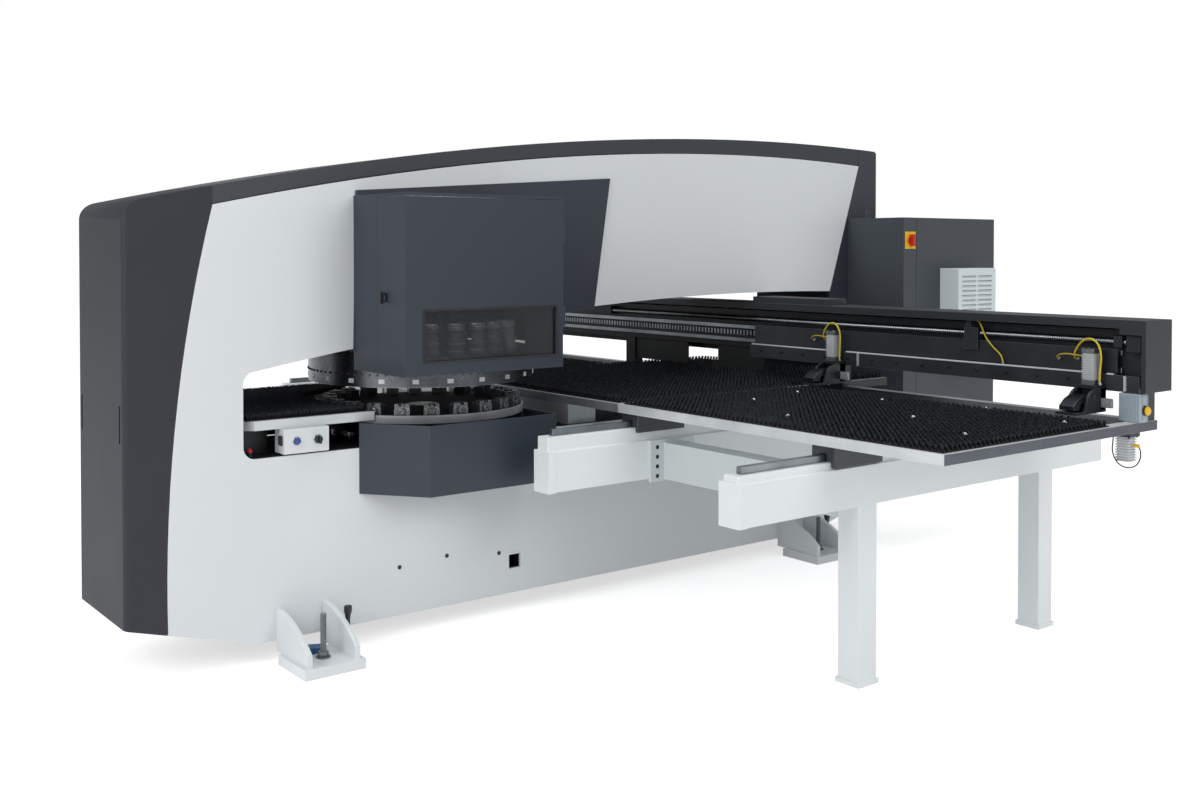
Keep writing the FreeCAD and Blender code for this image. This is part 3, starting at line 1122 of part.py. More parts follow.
def x_carriage():
    fit = D.shaft_clearance
    bar = box(D.bar_start, D.bar_tip, D.bar_front_y, D.plate_back_y, D.bar_bottom,
              D.bar_bottom + D.bar_height)
    plate = box(D.bar_start, D.bar_end, D.plate_front_y, D.plate_back_y, D.plate_bottom, D.plate_top)
    gap = 0.4
    shoes = []
    guide_front = D.girder_y - 20
    for x in (D.bar_start + 40, (D.bar_start + D.bar_end) / 2 - 40, D.bar_end - 120):
        for z in (D.lower_guide_z, D.upper_guide_z):
            shoes.append(box(x, x + 80, D.plate_back_y, guide_front - gap, z - 4, z + D.guide_height + 4))
    nut_x = D.bar_end - 700
    nut = box(nut_x, nut_x + 70, D.plate_front_y - 20, D.plate_back_y, D.plate_top - 40, D.screw_z + 24)
    nut_hole = rod(nut_x - 1, D.screw_y, D.screw_z, D.screw_radius + fit, 72, "x")
    nut_back = box(nut_x, nut_x + 70, D.plate_back_y, D.girder_y - 4, D.screw_z - 22, D.screw_z + 24)
    hose_post = box(nut_x + 10, nut_x + 34, D.plate_front_y - 20, D.plate_front_y - 6,
                    D.screw_z + 24, D.hood_top - 20)
    bolt_holes = [rod(D.bar_start + 75 + 145 * n, D.bar_front_y, D.bar_bottom + 36, 5, 8, "y")
                  for n in range(14)]
    node("carriage_bar", cut(fuse(bar, plate, *shoes, nut, nut_back, hose_post), nut_hole, *bolt_holes))

    bodies, jaws, cylinders, hoses = [], [], [], []
    half = D.clamp_width / 2
    shift = ORIGIN_SHIFT.value
    for x in clamp_places():
        back = D.bar_front_y
        lower = box(x - half, x + half, D.clamp_front_y, back, D.jaw_bottom, D.jaw_bottom + 10)
        spine = box(x - half, x + half, back - 40, back, D.jaw_bottom, D.air_cylinder_bottom - 12)
        cheeks = [box(c, c + 12, D.pivot_y - 26, back, D.jaw_bottom, D.pivot_z + 26)
                  for c in (x - half, x + half - 12)]
        shelf = box(x - half, x + half, back - 74, back, D.air_cylinder_bottom - 12,
                    D.air_cylinder_bottom)
        pin = rod(x - half, D.pivot_y, D.pivot_z, D.pivot_radius, D.clamp_width, "x")
        bodies.append(fuse(lower, spine, shelf, pin, *cheeks))
        air = D.air_cylinder / 2
        cylinders.append(box(x - air, x + air, back - 62, back - 62 + D.air_cylinder,
                             D.air_cylinder_bottom, D.air_cylinder_bottom + D.air_cylinder_height))
        arm_half = half - 12.5
        lever = box(x - arm_half, x + arm_half, D.clamp_front_y + 4, D.pivot_y + 22,
                    D.pivot_z - 16, D.pivot_z + 16)
        tip = box(x - arm_half, x + arm_half, D.clamp_front_y + 4, D.clamp_front_y + 46,
                  D.jaw_bottom + 16, D.pivot_z + 16)
        pin_hole = rod(x - half, D.pivot_y, D.pivot_z, D.pivot_radius + fit, D.clamp_width, "x")
        jaws.append(cut(fuse(lever, tip), pin_hole))
        shelf_z = D.air_cylinder_bottom.value
        back_y = D.plate_front_y.value
        over = [(36, 3156, shelf_z), (36, 3156, 1136), (45, 3153, 1190), (38, 3152, 1238),
                (10, 3154, 1266), (-30, 3160, 1264), (-64, 3168, 1236), (-86, 3174, 1200),
                (-92, 3192, 1176), (-92, back_y, 1176)]
        tail = [(-D.air_cylinder.value / 2, 3150, 1196), (-60, 3150, 1196), (-100, 3158, 1200),
                (-140, 3168, 1196), (-166, 3180, 1184), (-178, 3196, 1172), (-178, back_y, 1172)]
        for route, radius in ((over, 4), (tail, 3)):
            hoses.append(tube_through([(x.value + a, b - shift, c) for a, b, c in route], radius))
    node("workholder_bodies", group(*bodies))
    node("workholder_jaws", group(*jaws))
    node("clamp_cylinders", group(*cylinders))
    post_x = nut_x.value + 34
    feed = [(0, 3208, 1314), (34, 3208, 1314), (52, 3207, 1286), (72, 3205, 1242),
            (110, 3206, 1200), (160, 3207, 1162), (160, 3207, D.bar_bottom.value + D.bar_height.value)]
    hoses.append(tube_through([(post_x + a, b - shift, c) for a, b, c in feed], 3.5))
    node("clamp_hoses", solid_feature("ClampHoses", Part.makeCompound(hoses)))


# ---------------------------------------------------------------------------
# Small control box below the near table
# ---------------------------------------------------------------------------
def control_box():
    fit = D.shaft_clearance
    front = D.control_front_x
    y0, y1 = D.control_near_y, D.control_near_y + D.control_width
    z0 = D.control_bottom
    mid_z = z0 + (D.table_bottom - z0) / 2
    button_y, knob_y = y0 + 52, y1 - 48
    case = box(front - D.control_depth, front, y0, y1, z0, D.table_bottom)
    button_hole = rod(front - 20, button_y, mid_z, 7 + fit, 21, "x")
    knob_hole = rod(front - 20, knob_y, mid_z, 7 + fit, 21, "x")
    node("control_box", cut(case, button_hole, knob_hole))
    node("push_button", fuse(rod(front - 14, button_y, mid_z, 7, 20, "x"),
                             rod(front + 6, button_y, mid_z, D.button_radius, 8, "x")))
    grip = rod(front + 1, knob_y, mid_z, D.knob_radius, 20, "x")
    ridge = box(front + 21, front + 30, knob_y - 5, knob_y + 5, mid_z - 15, mid_z + 15)
    node("selector_knob", fuse(rod(front - 18, knob_y, mid_z, 7, 20, "x"), grip, ridge))


# ---------------------------------------------------------------------------
# Control cabinet
# ---------------------------------------------------------------------------
def cabinet():
    wall, fit = D.cabinet_wall, D.shaft_clearance
    y0, y1 = D.cabinet_y, D.cabinet_y + D.cabinet_length
    z0, z1 = D.cabinet_bottom, D.cabinet_top
    front = D.cabinet_front_x
    shell = box(HALF, front, y0, y1, z0, z1)
    room = box(HALF + wall, front - wall, y0 + wall, y1 - wall, z0 + wall, z1 - wall)
    strip_end = y0 + D.switch_strip
    doorway = box(front - wall - 1, front + 1, strip_end, y1 - wall * 3, z0 + wall * 3, z1 - wall * 3)
    switch_y = y0 + D.switch_strip / 2
    strip = box(front, front + D.door_thickness, y0, strip_end - 2, z0, z1)
    switch_hole = rod(front - wall - 2, switch_y, D.switch_z, 9 + fit, D.door_thickness + wall + 4, "x")
    lug = box(HALF + 110, HALF + 122, y0 + 14, y0 + 54, z1, z1 + 46)
    node("cabinet_body", cut(fuse(shell, strip, lug), room, doorway, switch_hole))
    door = box(front + 0.5, front + D.door_thickness, strip_end, y1, z0, z1)
    grip_y = strip_end + D.handle_inset
    latch = box(front + D.door_thickness, front + D.door_thickness + D.handle_depth, grip_y,
                grip_y + D.handle_width, D.handle_bottom, D.handle_bottom + D.handle_length)
    node("cabinet_door", fuse(door, latch))
    spindle = rod(front - wall, switch_y, D.switch_z, 9, D.door_thickness + wall + 4, "x")
    base = rod(front + D.door_thickness + 0.3, switch_y, D.switch_z, D.switch_radius, 8, "x")
    handle = box(front + D.door_thickness + 4, front + D.door_thickness + 30, switch_y - 8,
                 switch_y + 8, D.switch_z - 30, D.switch_z + 30)
    node("main_switch", fuse(spindle, base, handle))
    cx = front + D.door_thickness
    cy0, cy1 = D.cooler_y, D.cooler_y + D.cooler_length
    case = box(cx, cx + D.cooler_depth, cy0, cy1, D.cooler_bottom, D.cooler_top)
    slots = []
    count = 12
    for side_y in (cy0 + 34, cy0 + D.cooler_length / 2 + 8):
        for number in range(count):
            z = D.cooler_top - 40 - D.louvre_pitch * number
            slots.append(box(cx + D.cooler_depth - 14, cx + D.cooler_depth + 1, side_y,
                             side_y + D.cooler_length / 2 - 42, z - D.louvre_height, z))
    node("cooling_unit", cut(case, *slots))


main_frame()
side_panels()
covers()
feet()
turret()
guards()
tables()
arms()
y_carriage()
x_carriage()
control_box()
cabinet()
doc.recompute()

failed = [item.Label for item in doc.Objects if {"Invalid", "Error"} & set(item.State)]
for item in nodes:
    if item.Shape.isNull() or not item.Shape.isValid():
        failed.append(item.Label)
if failed:
    print("failed:", failed)
    sys.exit(1)
whole = FreeCAD.BoundBox()
for item in nodes:
    item.Shape.exportStep("parts/%s.step" % item.Label)
    whole.add(item.Shape.BoundBox)
print(len(nodes), "nodes", whole)
print("volume m3", sum(item.Shape.Volume for item in nodes) / 1e9)
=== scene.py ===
"""Dresses the turret punch press: finishes, fine forms, studio and camera.

Lengths are in millimetres on the drawing's axes: X along the carriage beam, Y from the near end
of the frame, Z up from the floor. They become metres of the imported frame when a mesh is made.
"""

from __future__ import annotations

import json
import logging
import math
from dataclasses import dataclass
from enum import Enum
from typing import Any, Iterable, Sequence

import bmesh
import bpy
from mathutils import Matrix, Vector

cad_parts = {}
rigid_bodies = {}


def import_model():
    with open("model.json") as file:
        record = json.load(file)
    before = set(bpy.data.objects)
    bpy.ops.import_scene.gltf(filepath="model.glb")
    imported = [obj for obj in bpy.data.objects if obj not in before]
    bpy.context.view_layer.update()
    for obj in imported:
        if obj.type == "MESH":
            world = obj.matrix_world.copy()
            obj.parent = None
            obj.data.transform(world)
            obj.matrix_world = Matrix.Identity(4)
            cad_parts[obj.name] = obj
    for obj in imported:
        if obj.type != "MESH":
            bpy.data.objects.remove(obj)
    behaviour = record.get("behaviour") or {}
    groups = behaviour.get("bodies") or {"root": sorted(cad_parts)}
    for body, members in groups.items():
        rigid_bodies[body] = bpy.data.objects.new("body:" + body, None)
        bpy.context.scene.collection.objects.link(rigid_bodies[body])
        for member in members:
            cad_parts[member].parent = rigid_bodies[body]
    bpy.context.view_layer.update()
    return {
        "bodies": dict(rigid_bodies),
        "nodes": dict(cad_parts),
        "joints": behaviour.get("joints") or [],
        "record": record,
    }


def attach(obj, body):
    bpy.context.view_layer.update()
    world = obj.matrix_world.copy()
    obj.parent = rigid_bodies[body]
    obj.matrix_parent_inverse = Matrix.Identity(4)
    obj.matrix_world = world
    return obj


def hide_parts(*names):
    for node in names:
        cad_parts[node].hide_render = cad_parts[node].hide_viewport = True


log = logging.getLogger("punch_press")

Point = tuple[float, float, float]
Flat = tuple[float, float]
Colour = tuple[float, float, float, float]

NEAR_END = 2380.0
"""Distance from the near end of the frame to the origin."""

TURRET_Y = 1402.0
"""Where the axis of both turrets stands, along Y."""

TABLE_TOP = 948.0
"""Height of the tables' upper faces."""

CLAMP_MIDDLES = (882.0, 2220.0)
"""The middles of the two workholders, along X."""


class Axis(Enum):
    """The three directions of the drawing, as indices."""

    X = 0
    Y = 1
    Z = 2


def at(x: float, y: float, z: float) -> Vector:
    """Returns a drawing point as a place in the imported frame, in metres."""
    return Vector((x, y - NEAR_END, z)) / 1000.0


def across(axis: Axis, along: float, first: float, second: float) -> Point:
    """Returns the point at a place along an axis and at two places across it."""
    spot = (first, second)
    return (*spot[:axis.value], along, *spot[axis.value:])


def moved(start: Point, step: Point) -> Point:
    """Returns a point moved by a step."""
    return tuple(a + b for a, b in zip(start, step))


def mirrored(side: int, low: float, high: float) -> Flat:
    """Returns a range on one side (1 or -1) of the middle plane, lower end first."""
    return tuple(sorted((side * low, side * high)))


def corners(middle: Flat, reach: float) -> list[Flat]:
    """Returns the four corners of a square about a middle."""
    return [(middle[0] + dx, middle[1] + dy) for dx in (-reach, reach) for dy in (-reach, reach)]


def waisted(middle: Flat, shoulder: Flat, tip: Flat, waist: float) -> list[Flat]:
    """Draws the outline of a grip that is narrower in its middle.

    Args:
        middle: the grip's middle.
        shoulder: half its width and half its height where its end chamfers begin.
        tip: the same where they end.
        waist: half its width in the middle.

    Returns:
        Its ten corners.
    """
    (a, b), (c, d) = shoulder, tip
    outline = [(-a, -b), (-c, -d), (c, -d), (a, -b), (waist, 0), (a, b), (c, d), (-c, d), (-a, b),
               (-waist, 0)]
    return [(middle[0] + x, middle[1] + y) for x, y in outline]


def paint(code: str) -> Colour:
    """Turns a display colour into the linear colour that a shader takes.

    Args:
        code: six hexadecimal digits.

    Returns:
        Red, green, blue and a full alpha.
    """
    parts = [int(code[i:i + 2], 16) / 255 for i in (0, 2, 4)]
    red, green, blue = (c / 12.92 if c <= 0.04045 else ((c + 0.055) / 1.055) ** 2.4 for c in parts)
    return (red, green, blue, 1.0)


def new_object(name: str, data: Any) -> bpy.types.Object:
    """Makes an object in the scene.

    Args:
        name: its name.
        data: its mesh, curve, camera or light.

    Returns:
        The new object.
    """
    item = bpy.data.objects.new(name, data)
    bpy.context.scene.collection.objects.link(item)
    return item


# ---------------------------------------------------------------------------------------------
# Shader trees
# ---------------------------------------------------------------------------------------------
class Graph:
    """Adds nodes to a tree and joins them."""

    def __init__(self, tree: bpy.types.NodeTree) -> None:
        """Takes the tree to fill."""
        self.tree = tree

    def feed(self, node: bpy.types.Node, inputs: dict[Any, Any]) -> bpy.types.Node:
        """Sets a node's inputs or joins them to sockets.

        Args:
            node: the node.
            inputs: values or output sockets by input name or number.

        Returns:
            The same node.
        """
        for key, value in inputs.items():
            if isinstance(value, bpy.types.NodeSocket):
                self.tree.links.new(value, node.inputs[key])
            else:
                node.inputs[key].default_value = value
        return node

    def add(self, kind: str, inputs: dict[Any, Any] | None = None,
            **settings: Any) -> bpy.types.Node:
        """Adds one node.

        Args:
            kind: the node's class name.
            inputs: values or output sockets by input name or number.
            **settings: properties of the node itself.

        Returns:
            The new node.
        """
        node = self.tree.nodes.new(kind)
        for key, value in settings.items():
            setattr(node, key, value)
        return self.feed(node, inputs or {})

    def place(self) -> Any:
        """Returns the Object coordinates of the surface."""
        return self.add("ShaderNodeTexCoord").outputs["Object"]

    def math(self, operation: str, first: Any, second: Any, clamp: bool = False) -> Any:
        """Returns the output of a Math node on two values or sockets."""
        return self.add("ShaderNodeMath", {0: first, 1: second}, operation=operation,
                        use_clamp=clamp).outputs[0]

    def noise(self, place: Any, scale: Any, detail: float = 2.0, rough: float = 0.5) -> Any:
        """Returns the value of a noise texture at a place."""
        return self.add("ShaderNodeTexNoise", {"Vector": place, "Scale": scale, "Detail": detail,
                                               "Roughness": rough}).outputs[0]

    def span(self, value: Any, low: float, high: float, start: float = 0.0,
             end: float = 1.0) -> Any:
        """Returns a value mapped from low..high to start..end and held there."""
        return self.add("ShaderNodeMapRange", {0: value, 1: low, 2: high, 3: start,
                                               4: end}).outputs[0]

    def blend(self, amount: Any, first: Any, second: Any) -> Any:
        """Returns a mix of two colours."""
        return self.add("ShaderNodeMix", {0: amount, 6: first, 7: second},
                        data_type="RGBA").outputs[2]

    def bump(self, height: Any, depth: float) -> Any:
        """Returns the normal of a height whose marks are as deep as given, in metres."""
        return self.add("ShaderNodeBump", {"Height": height, "Distance": depth,
                                           "Strength": 1.0}).outputs[0]


def shader_group(name: str, takes: dict[str, str], gives: dict[str, str]
                 ) -> tuple[Graph, Any, bpy.types.Node]:
    """Starts a shader node group with named sockets.

    Args:
        name: the group's name.
        takes: input name to socket kind (Float, Color).
        gives: output name to socket kind.

    Returns:
        The group's graph, the sockets that it takes and its output node.
    """
    tree = bpy.data.node_groups.new(name, "ShaderNodeTree")
    for way, sockets in (("INPUT", takes), ("OUTPUT", gives)):
        for label, kind in sockets.items():
            tree.interface.new_socket(label, in_out=way, socket_type="NodeSocket" + kind)
    graph = Graph(tree)
    return graph, graph.add("NodeGroupInput").outputs, graph.add("NodeGroupOutput")


class SharedEffects:
    """Node groups that several finishes use, each built once."""

    def __init__(self) -> None:
        """Starts with no group built."""
        self.groups: dict[str, bpy.types.NodeTree] = {}

    def get(self, name: str) -> bpy.types.NodeTree:
        """Finds a group, and builds it the first time.

        Args:
            name: the group's name.

        Returns:
            The group's tree.
        """
        if name not in self.groups:
            self.groups[name] = getattr(self, "build_" + name)()
        return self.groups[name]

    def build_surface(self) -> bpy.types.NodeTree:
        """Builds broad tone changes, soft patches of gloss and a fine skin.

        Returns:
            The group's tree.
        """
        graph, takes, gives = shader_group(
            "surface", {"Colour": "Color", "Mottle": "Float", "Patch Scale": "Float",
                        "Gloss": "Float", "Gloss Spread": "Float", "Skin Scale": "Float"},
            {"Colour": "Color", "Roughness": "Float", "Height": "Float"})
        place = graph.place()
        skin = graph.noise(place, takes["Skin Scale"])
        broad = graph.math("SUBTRACT", graph.noise(place, takes["Patch Scale"], 4.0, 0.6), 0.5)
        tone = graph.math("MULTIPLY", broad, takes["Mottle"])
        brightness = graph.math("ADD", graph.math("MULTIPLY", tone, 4.0), 1.0)
        toned = graph.add("ShaderNodeHueSaturation",
                          {"Color": takes["Colour"], "Value": brightness}).outputs[0]
        uneven = graph.math("ADD", broad, graph.math("SUBTRACT", skin, 0.5))
        spread = graph.math("MULTIPLY", uneven, takes["Gloss Spread"])
        rough = graph.math("ADD", takes["Gloss"], graph.math("MULTIPLY", spread, 2.0), True)
        graph.feed(gives, {"Colour": toned, "Roughness": rough, "Height": skin})
        return graph.tree

    def build_edge_highlight_and_wear(self) -> bpy.types.NodeTree:
        """Builds a mask of the edges, broken into patches, for a painted highlight along them that
        partly stands for thin paint and rubbed metal.

        Returns:
            The group's tree.
        """
        graph, takes, gives = shader_group(
            "edge_highlight_and_wear", {"Radius": "Float", "Patch": "Float"}, {"Mask": "Float"})
        rounded = graph.add("ShaderNodeBevel", {"Radius": takes["Radius"]}, samples=4).outputs[0]
        flat = graph.add("ShaderNodeNewGeometry").outputs["Normal"]
        likeness = graph.add("ShaderNodeVectorMath", {0: rounded, 1: flat},
                             operation="DOT_PRODUCT").outputs["Value"]
        edge = graph.span(likeness, 0.99, 0.86)
        holes = graph.span(graph.noise(graph.place(), 22.0, 4.0, 0.7), 0.3, 0.62)
        broken = graph.math("ADD", graph.math("MULTIPLY", holes, takes["Patch"]),
                            graph.math("SUBTRACT", 1.0, takes["Patch"]))
        graph.feed(gives, {"Mask": graph.math("MULTIPLY", edge, broken, True)})
        return graph.tree

    def build_brushed(self) -> bpy.types.NodeTree:
        """Builds fine parallel grain from a machine cut, stretched along one direction.

        Returns:
            The group's tree.
        """
        graph, takes, gives = shader_group(
            "brushed", {"Along X": "Float", "Along Y": "Float", "Along Z": "Float"},
            {"Grain": "Float", "Broad": "Float"})
        place = graph.place()
        stretch = graph.add("ShaderNodeCombineXYZ", {i: takes[i] for i in range(3)}).outputs[0]
        lines = graph.add("ShaderNodeVectorMath", {0: place, 1: stretch},
                          operation="MULTIPLY").outputs[0]
        graph.feed(gives, {"Grain": graph.noise(lines, 1.0, 3.0, 0.6),
                           "Broad": graph.noise(place, 4.0, 3.0, 0.55)})
        return graph.tree


EFFECTS = SharedEffects()


def effect(graph: Graph, name: str, **values: Any) -> Any:
    """Places a shared effect in a material, with its own values.

    Args:
        graph: the material's graph.
        name: the effect's name.
        **values: input values, with spaces in the socket's name written as underscores.

    Returns:
        The effect's output sockets.
    """
    node = graph.add("ShaderNodeGroup", node_tree=EFFECTS.get(name))
    inputs = {key.replace("_", " "): value for key, value in values.items()}
    return graph.feed(node, inputs).outputs


def blank_material(name: str) -> tuple[bpy.types.Material, Graph]:
    """Makes a material with an empty tree.

    Args:
        name: the material's name.

    Returns:
        The material and its graph.
    """
    material = bpy.data.materials.new(name)
    material.use_nodes = True
    material.node_tree.nodes.clear()
    return material, Graph(material.node_tree)


class Grain(Enum):
    """The way in which the cut marks of a metal run, as stretches along X, Y and Z."""

    ALONG_X = (6.0, 420.0, 420.0)
    ALONG_Y = (420.0, 6.0, 420.0)
    ALONG_Z = (420.0, 420.0, 6.0)
    EVEN = (160.0, 160.0, 160.0)


MADE: dict[str, bpy.types.Material] = {}
"""The materials made so far, by the names of their finishes."""


@dataclass(frozen=True)
class Finish:
    """What every finish has: a name, a colour, a gloss, and a slot, which is not used."""

    name: str
    colour: str
    gloss: float = 0.4
    slot: str = ""

    def start(self) -> tuple[bpy.types.Material, Graph, bpy.types.Node]:
        """Starts the material.

        Returns:
            The material, its graph and its principled shader.
        """
        material, graph = blank_material(self.name)
        shader = graph.add("ShaderNodeBsdfPrincipled")
        graph.add("ShaderNodeOutputMaterial", {"Surface": shader.outputs[0]})
        material.diffuse_color = paint(self.colour)
        return material, graph, shader

    def material(self) -> bpy.types.Material:
        """Finds this finish's material, and makes it the first time.

        Returns:
            The material.
        """
        if self.name not in MADE:
            MADE[self.name] = self.make()
        return MADE[self.name]

    def make(self) -> bpy.types.Material:
        """Builds the material."""
        raise NotImplementedError


@dataclass(frozen=True)
class Paint(Finish):
    """Sprayed machine paint with a fine skin, and a painted highlight along its edges, partly
    thinner paint there.
    """

    edge: str = "ffffff"
    edge_highlight_share: float = 0.25
    edge_radius: float = 0.004
    mottle: float = 0.012
    skin_scale: float = 420.0
    skin_depth: float = 0.00012
    coat: float = 0.0

    def make(self) -> bpy.types.Material:
        """Builds the paint.

        Returns:
            The material.
        """
        material, graph, shader = self.start()
        skin = effect(graph, "surface", Colour=paint(self.colour), Mottle=self.mottle,
                      Patch_Scale=2.2, Gloss=self.gloss, Gloss_Spread=0.06,
                      Skin_Scale=self.skin_scale)
        # Painted highlight: the edge mask mixes the colour towards the edge colour, partly thinner
        # paint.
        edge_highlight = effect(graph, "edge_highlight_and_wear", Radius=self.edge_radius, Patch=0.5)
        share = graph.math("MULTIPLY", edge_highlight["Mask"], self.edge_highlight_share)
        graph.feed(shader, {
            "Base Color": graph.blend(share, skin["Colour"], paint(self.edge)),
            "Roughness": skin["Roughness"], "Normal": graph.bump(skin["Height"], self.skin_depth),
            "Coat Weight": self.coat, "Coat Roughness": 0.12})
        return material


@dataclass(frozen=True)
class Metal(Finish):
    """Cut or rolled metal with grain, broad patches, and a painted highlight along its edges,
    partly rubbed metal.
    """

    slot: str = "steel"
    grain: Grain = Grain.EVEN
    second: str = "8a8d90"
    depth: float = 0.00008
    metallic: float = 1.0
    edge: str = "e8eaec"
    edge_highlight_share: float = 0.5

    def make(self) -> bpy.types.Material:
        """Builds the metal.

        Returns:
            The material.
        """
        material, graph, shader = self.start()
        x, y, z = self.grain.value
        cut = effect(graph, "brushed", Along_X=x, Along_Y=y, Along_Z=z)
        # Painted highlight: the edge mask mixes the metal towards the edge colour, partly rubbed
        # metal.
        edge_highlight = effect(graph, "edge_highlight_and_wear", Radius=0.002, Patch=0.4)
        patchy = graph.span(cut["Broad"], 0.35, 0.65)
        lined = graph.math("ADD", graph.math("MULTIPLY", patchy, 0.6),
                           graph.math("MULTIPLY", cut["Grain"], 0.5), True)
        base = graph.blend(lined, paint(self.colour), paint(self.second))
        share = graph.math("MULTIPLY", edge_highlight["Mask"], self.edge_highlight_share)
        rough = graph.span(cut["Grain"], 0.25, 0.75, self.gloss - 0.08, self.gloss + 0.1)
        graph.feed(shader, {
            "Base Color": graph.blend(share, base, paint(self.edge)), "Roughness": rough,
            "Metallic": self.metallic, "Normal": graph.bump(cut["Grain"], self.depth)})
        return material


@dataclass(frozen=True)
class Moulded(Finish):
    """Moulded plastic or rubber with a fine texture."""

    skin_scale: float = 900.0
    skin_depth: float = 0.00015
    mottle: float = 0.02

    def make(self) -> bpy.types.Material:
        """Builds the plastic.

        Returns:
            The material.
        """
        material, graph, shader = self.start()
        skin = effect(graph, "surface", Colour=paint(self.colour), Mottle=self.mottle,
                      Patch_Scale=9.0, Gloss=self.gloss, Gloss_Spread=0.1,
                      Skin_Scale=self.skin_scale)
        graph.feed(shader, {"Base Color": skin["Colour"], "Roughness": skin["Roughness"],
                            "Normal": graph.bump(skin["Height"], self.skin_depth)})
        return material


@dataclass(frozen=True)
class Bristle(Finish):
    """Nylon bristles, grey-black at the root, with a painted highlight that lightens the tips."""

    slot: str = "bristle"
    # tip: the colour of the painted highlight on the bristles' tips.
    tip: str = "4a4f56"
    root_height: float = 0.948
    tip_height: float = 0.975

    def make(self) -> bpy.types.Material:
        """Builds the bristles.

        Returns:
            The material.
        """
        material, graph, shader = self.start()
        place = graph.place()
        height = graph.add("ShaderNodeSeparateXYZ", {0: place}).outputs[2]
        # Painted highlight: the upper part of each tuft is mixed towards the tip colour.
        rise = graph.span(height, self.root_height, self.tip_height)
        speck = graph.noise(place, 260.0)
        tip_highlight = graph.math("MULTIPLY", graph.math("POWER", rise, 2.0),
                           graph.span(speck, 0.3, 0.7), True)
        graph.feed(shader, {
            "Base Color": graph.blend(tip_highlight, paint(self.colour), paint(self.tip)),
            "Roughness": graph.span(speck, 0.2, 0.8, self.gloss - 0.1, self.gloss + 0.15),
            "Specular IOR Level": 0.2})
        return material


@dataclass(frozen=True)
class TintedPane(Finish):
    """A smoke-tinted acrylic pane with faint wipe marks."""

    wiped: str = "23272c"
    cover: float = 0.5

    def make(self) -> bpy.types.Material:
        """Builds the pane.

        Returns:
            The material.
        """
        material, graph, shader = self.start()
        wipe = graph.noise(graph.place(), 14.0, 4.0, 0.6)
        tone = graph.blend(graph.span(wipe, 0.3, 0.8), paint(self.colour), paint(self.wiped))
        graph.feed(shader, {
            "Base Color": tone, "Alpha": self.cover,
            "Roughness": graph.span(wipe, 0.4, 0.75, self.gloss, self.gloss + 0.1)})
        return material


# Each paint's edge colour is a painted highlight along its edges, partly thinner paint.
WHITE_PAINT = Paint("white_paint", "e4e8ea", 0.38, "white_paint", edge_highlight_share=0.5, coat=0.15)
ARM_PAINT = Paint("arm_paint", "eef2f3", 0.36, edge_highlight_share=0.5, coat=0.15)
CROSSBEAM_PAINT = Paint("crossbeam_paint", "d3dadb", 0.42, edge="f4f7f7", edge_highlight_share=0.4)
RUNNER_PAINT = Paint("runner_paint", "34393e", 0.45, edge="6b7177", edge_highlight_share=0.4)
CHARCOAL_PAINT = Paint("charcoal_paint", "30343d", 0.42, edge="7d858e", edge_highlight_share=0.35, coat=0.1)
# A rougher copy of the charcoal paint without coat; its darker colour is painted shade on the near
# end cover.
SHADED_END_COVER_PAINT = Paint("shaded_end_cover_paint", "24262e", 0.6, edge="7d858e")
CHARCOAL_BLUE = Paint("charcoal_guard_paint", "2b333e", 0.45, edge="6f7984", edge_highlight_share=0.3)
CABINET_PAINT = Paint("cabinet_paint", "3c4249", 0.5, "charcoal_paint", edge="6b727a",
                      edge_highlight_share=0.3, skin_scale=260.0, skin_depth=0.0002)
COOLER_PAINT = Paint("cooler_paint", "dde5e8", 0.45, "pale_plastic", edge="eef1f2",
                     edge_highlight_share=0.4, skin_scale=300.0)
BEAM_PAINT = Paint("beam_paint", "23272c", 0.52, edge="767c82", edge_highlight_share=0.3)
BEAM_STEEL = Paint("beam_girder_paint", "1a1d20", 0.5, "dark_steel", edge="44494e",
                   edge_highlight_share=0.4)
# Near-black frame colour, as painted shade inside the throat.
SHADED_FRAME_STEEL = Paint("shaded_frame_primer", "14181c", 0.6, "dark_steel", edge="2c3136", edge_highlight_share=0.3,
                    skin_depth=0.0003)
BLACKENED_STEEL = Paint("blackened_steel", "0b0c0e", 0.85, "steel", edge="24272a",
                        edge_highlight_share=0.3)
BLUE_PAINT = Paint("blue_paint", "2c5a86", 0.4, "blue_paint", edge="7fa3c4", edge_highlight_share=0.5)
BLACK_PAINT = Paint("black_paint", "15181b", 0.45, "black_plastic", edge="3c4146",
                    edge_highlight_share=0.4)
CLAMP_BLACK = Paint("clamp_black", "191c1f", 0.4, "black_plastic", edge="6d7276", edge_highlight_share=0.5)

# Each metal's edge colour is a painted highlight along its edges, partly rubbed metal.
GROUND_STEEL = Metal("ground_steel", "a4a8ab", 0.28, grain=Grain.ALONG_Y, second="74787c")
RAIL_STEEL = Metal("rail_steel", "9aa0a4", 0.3, grain=Grain.ALONG_X, second="6c7175")
DARK_STEEL = Metal("dark_steel", "55585c", 0.45, second="2f3236", edge="a9adb0")
TOOL_STEEL = Metal("tool_steel", "c6c9cc", 0.3, second="85888b", metallic=0.55)
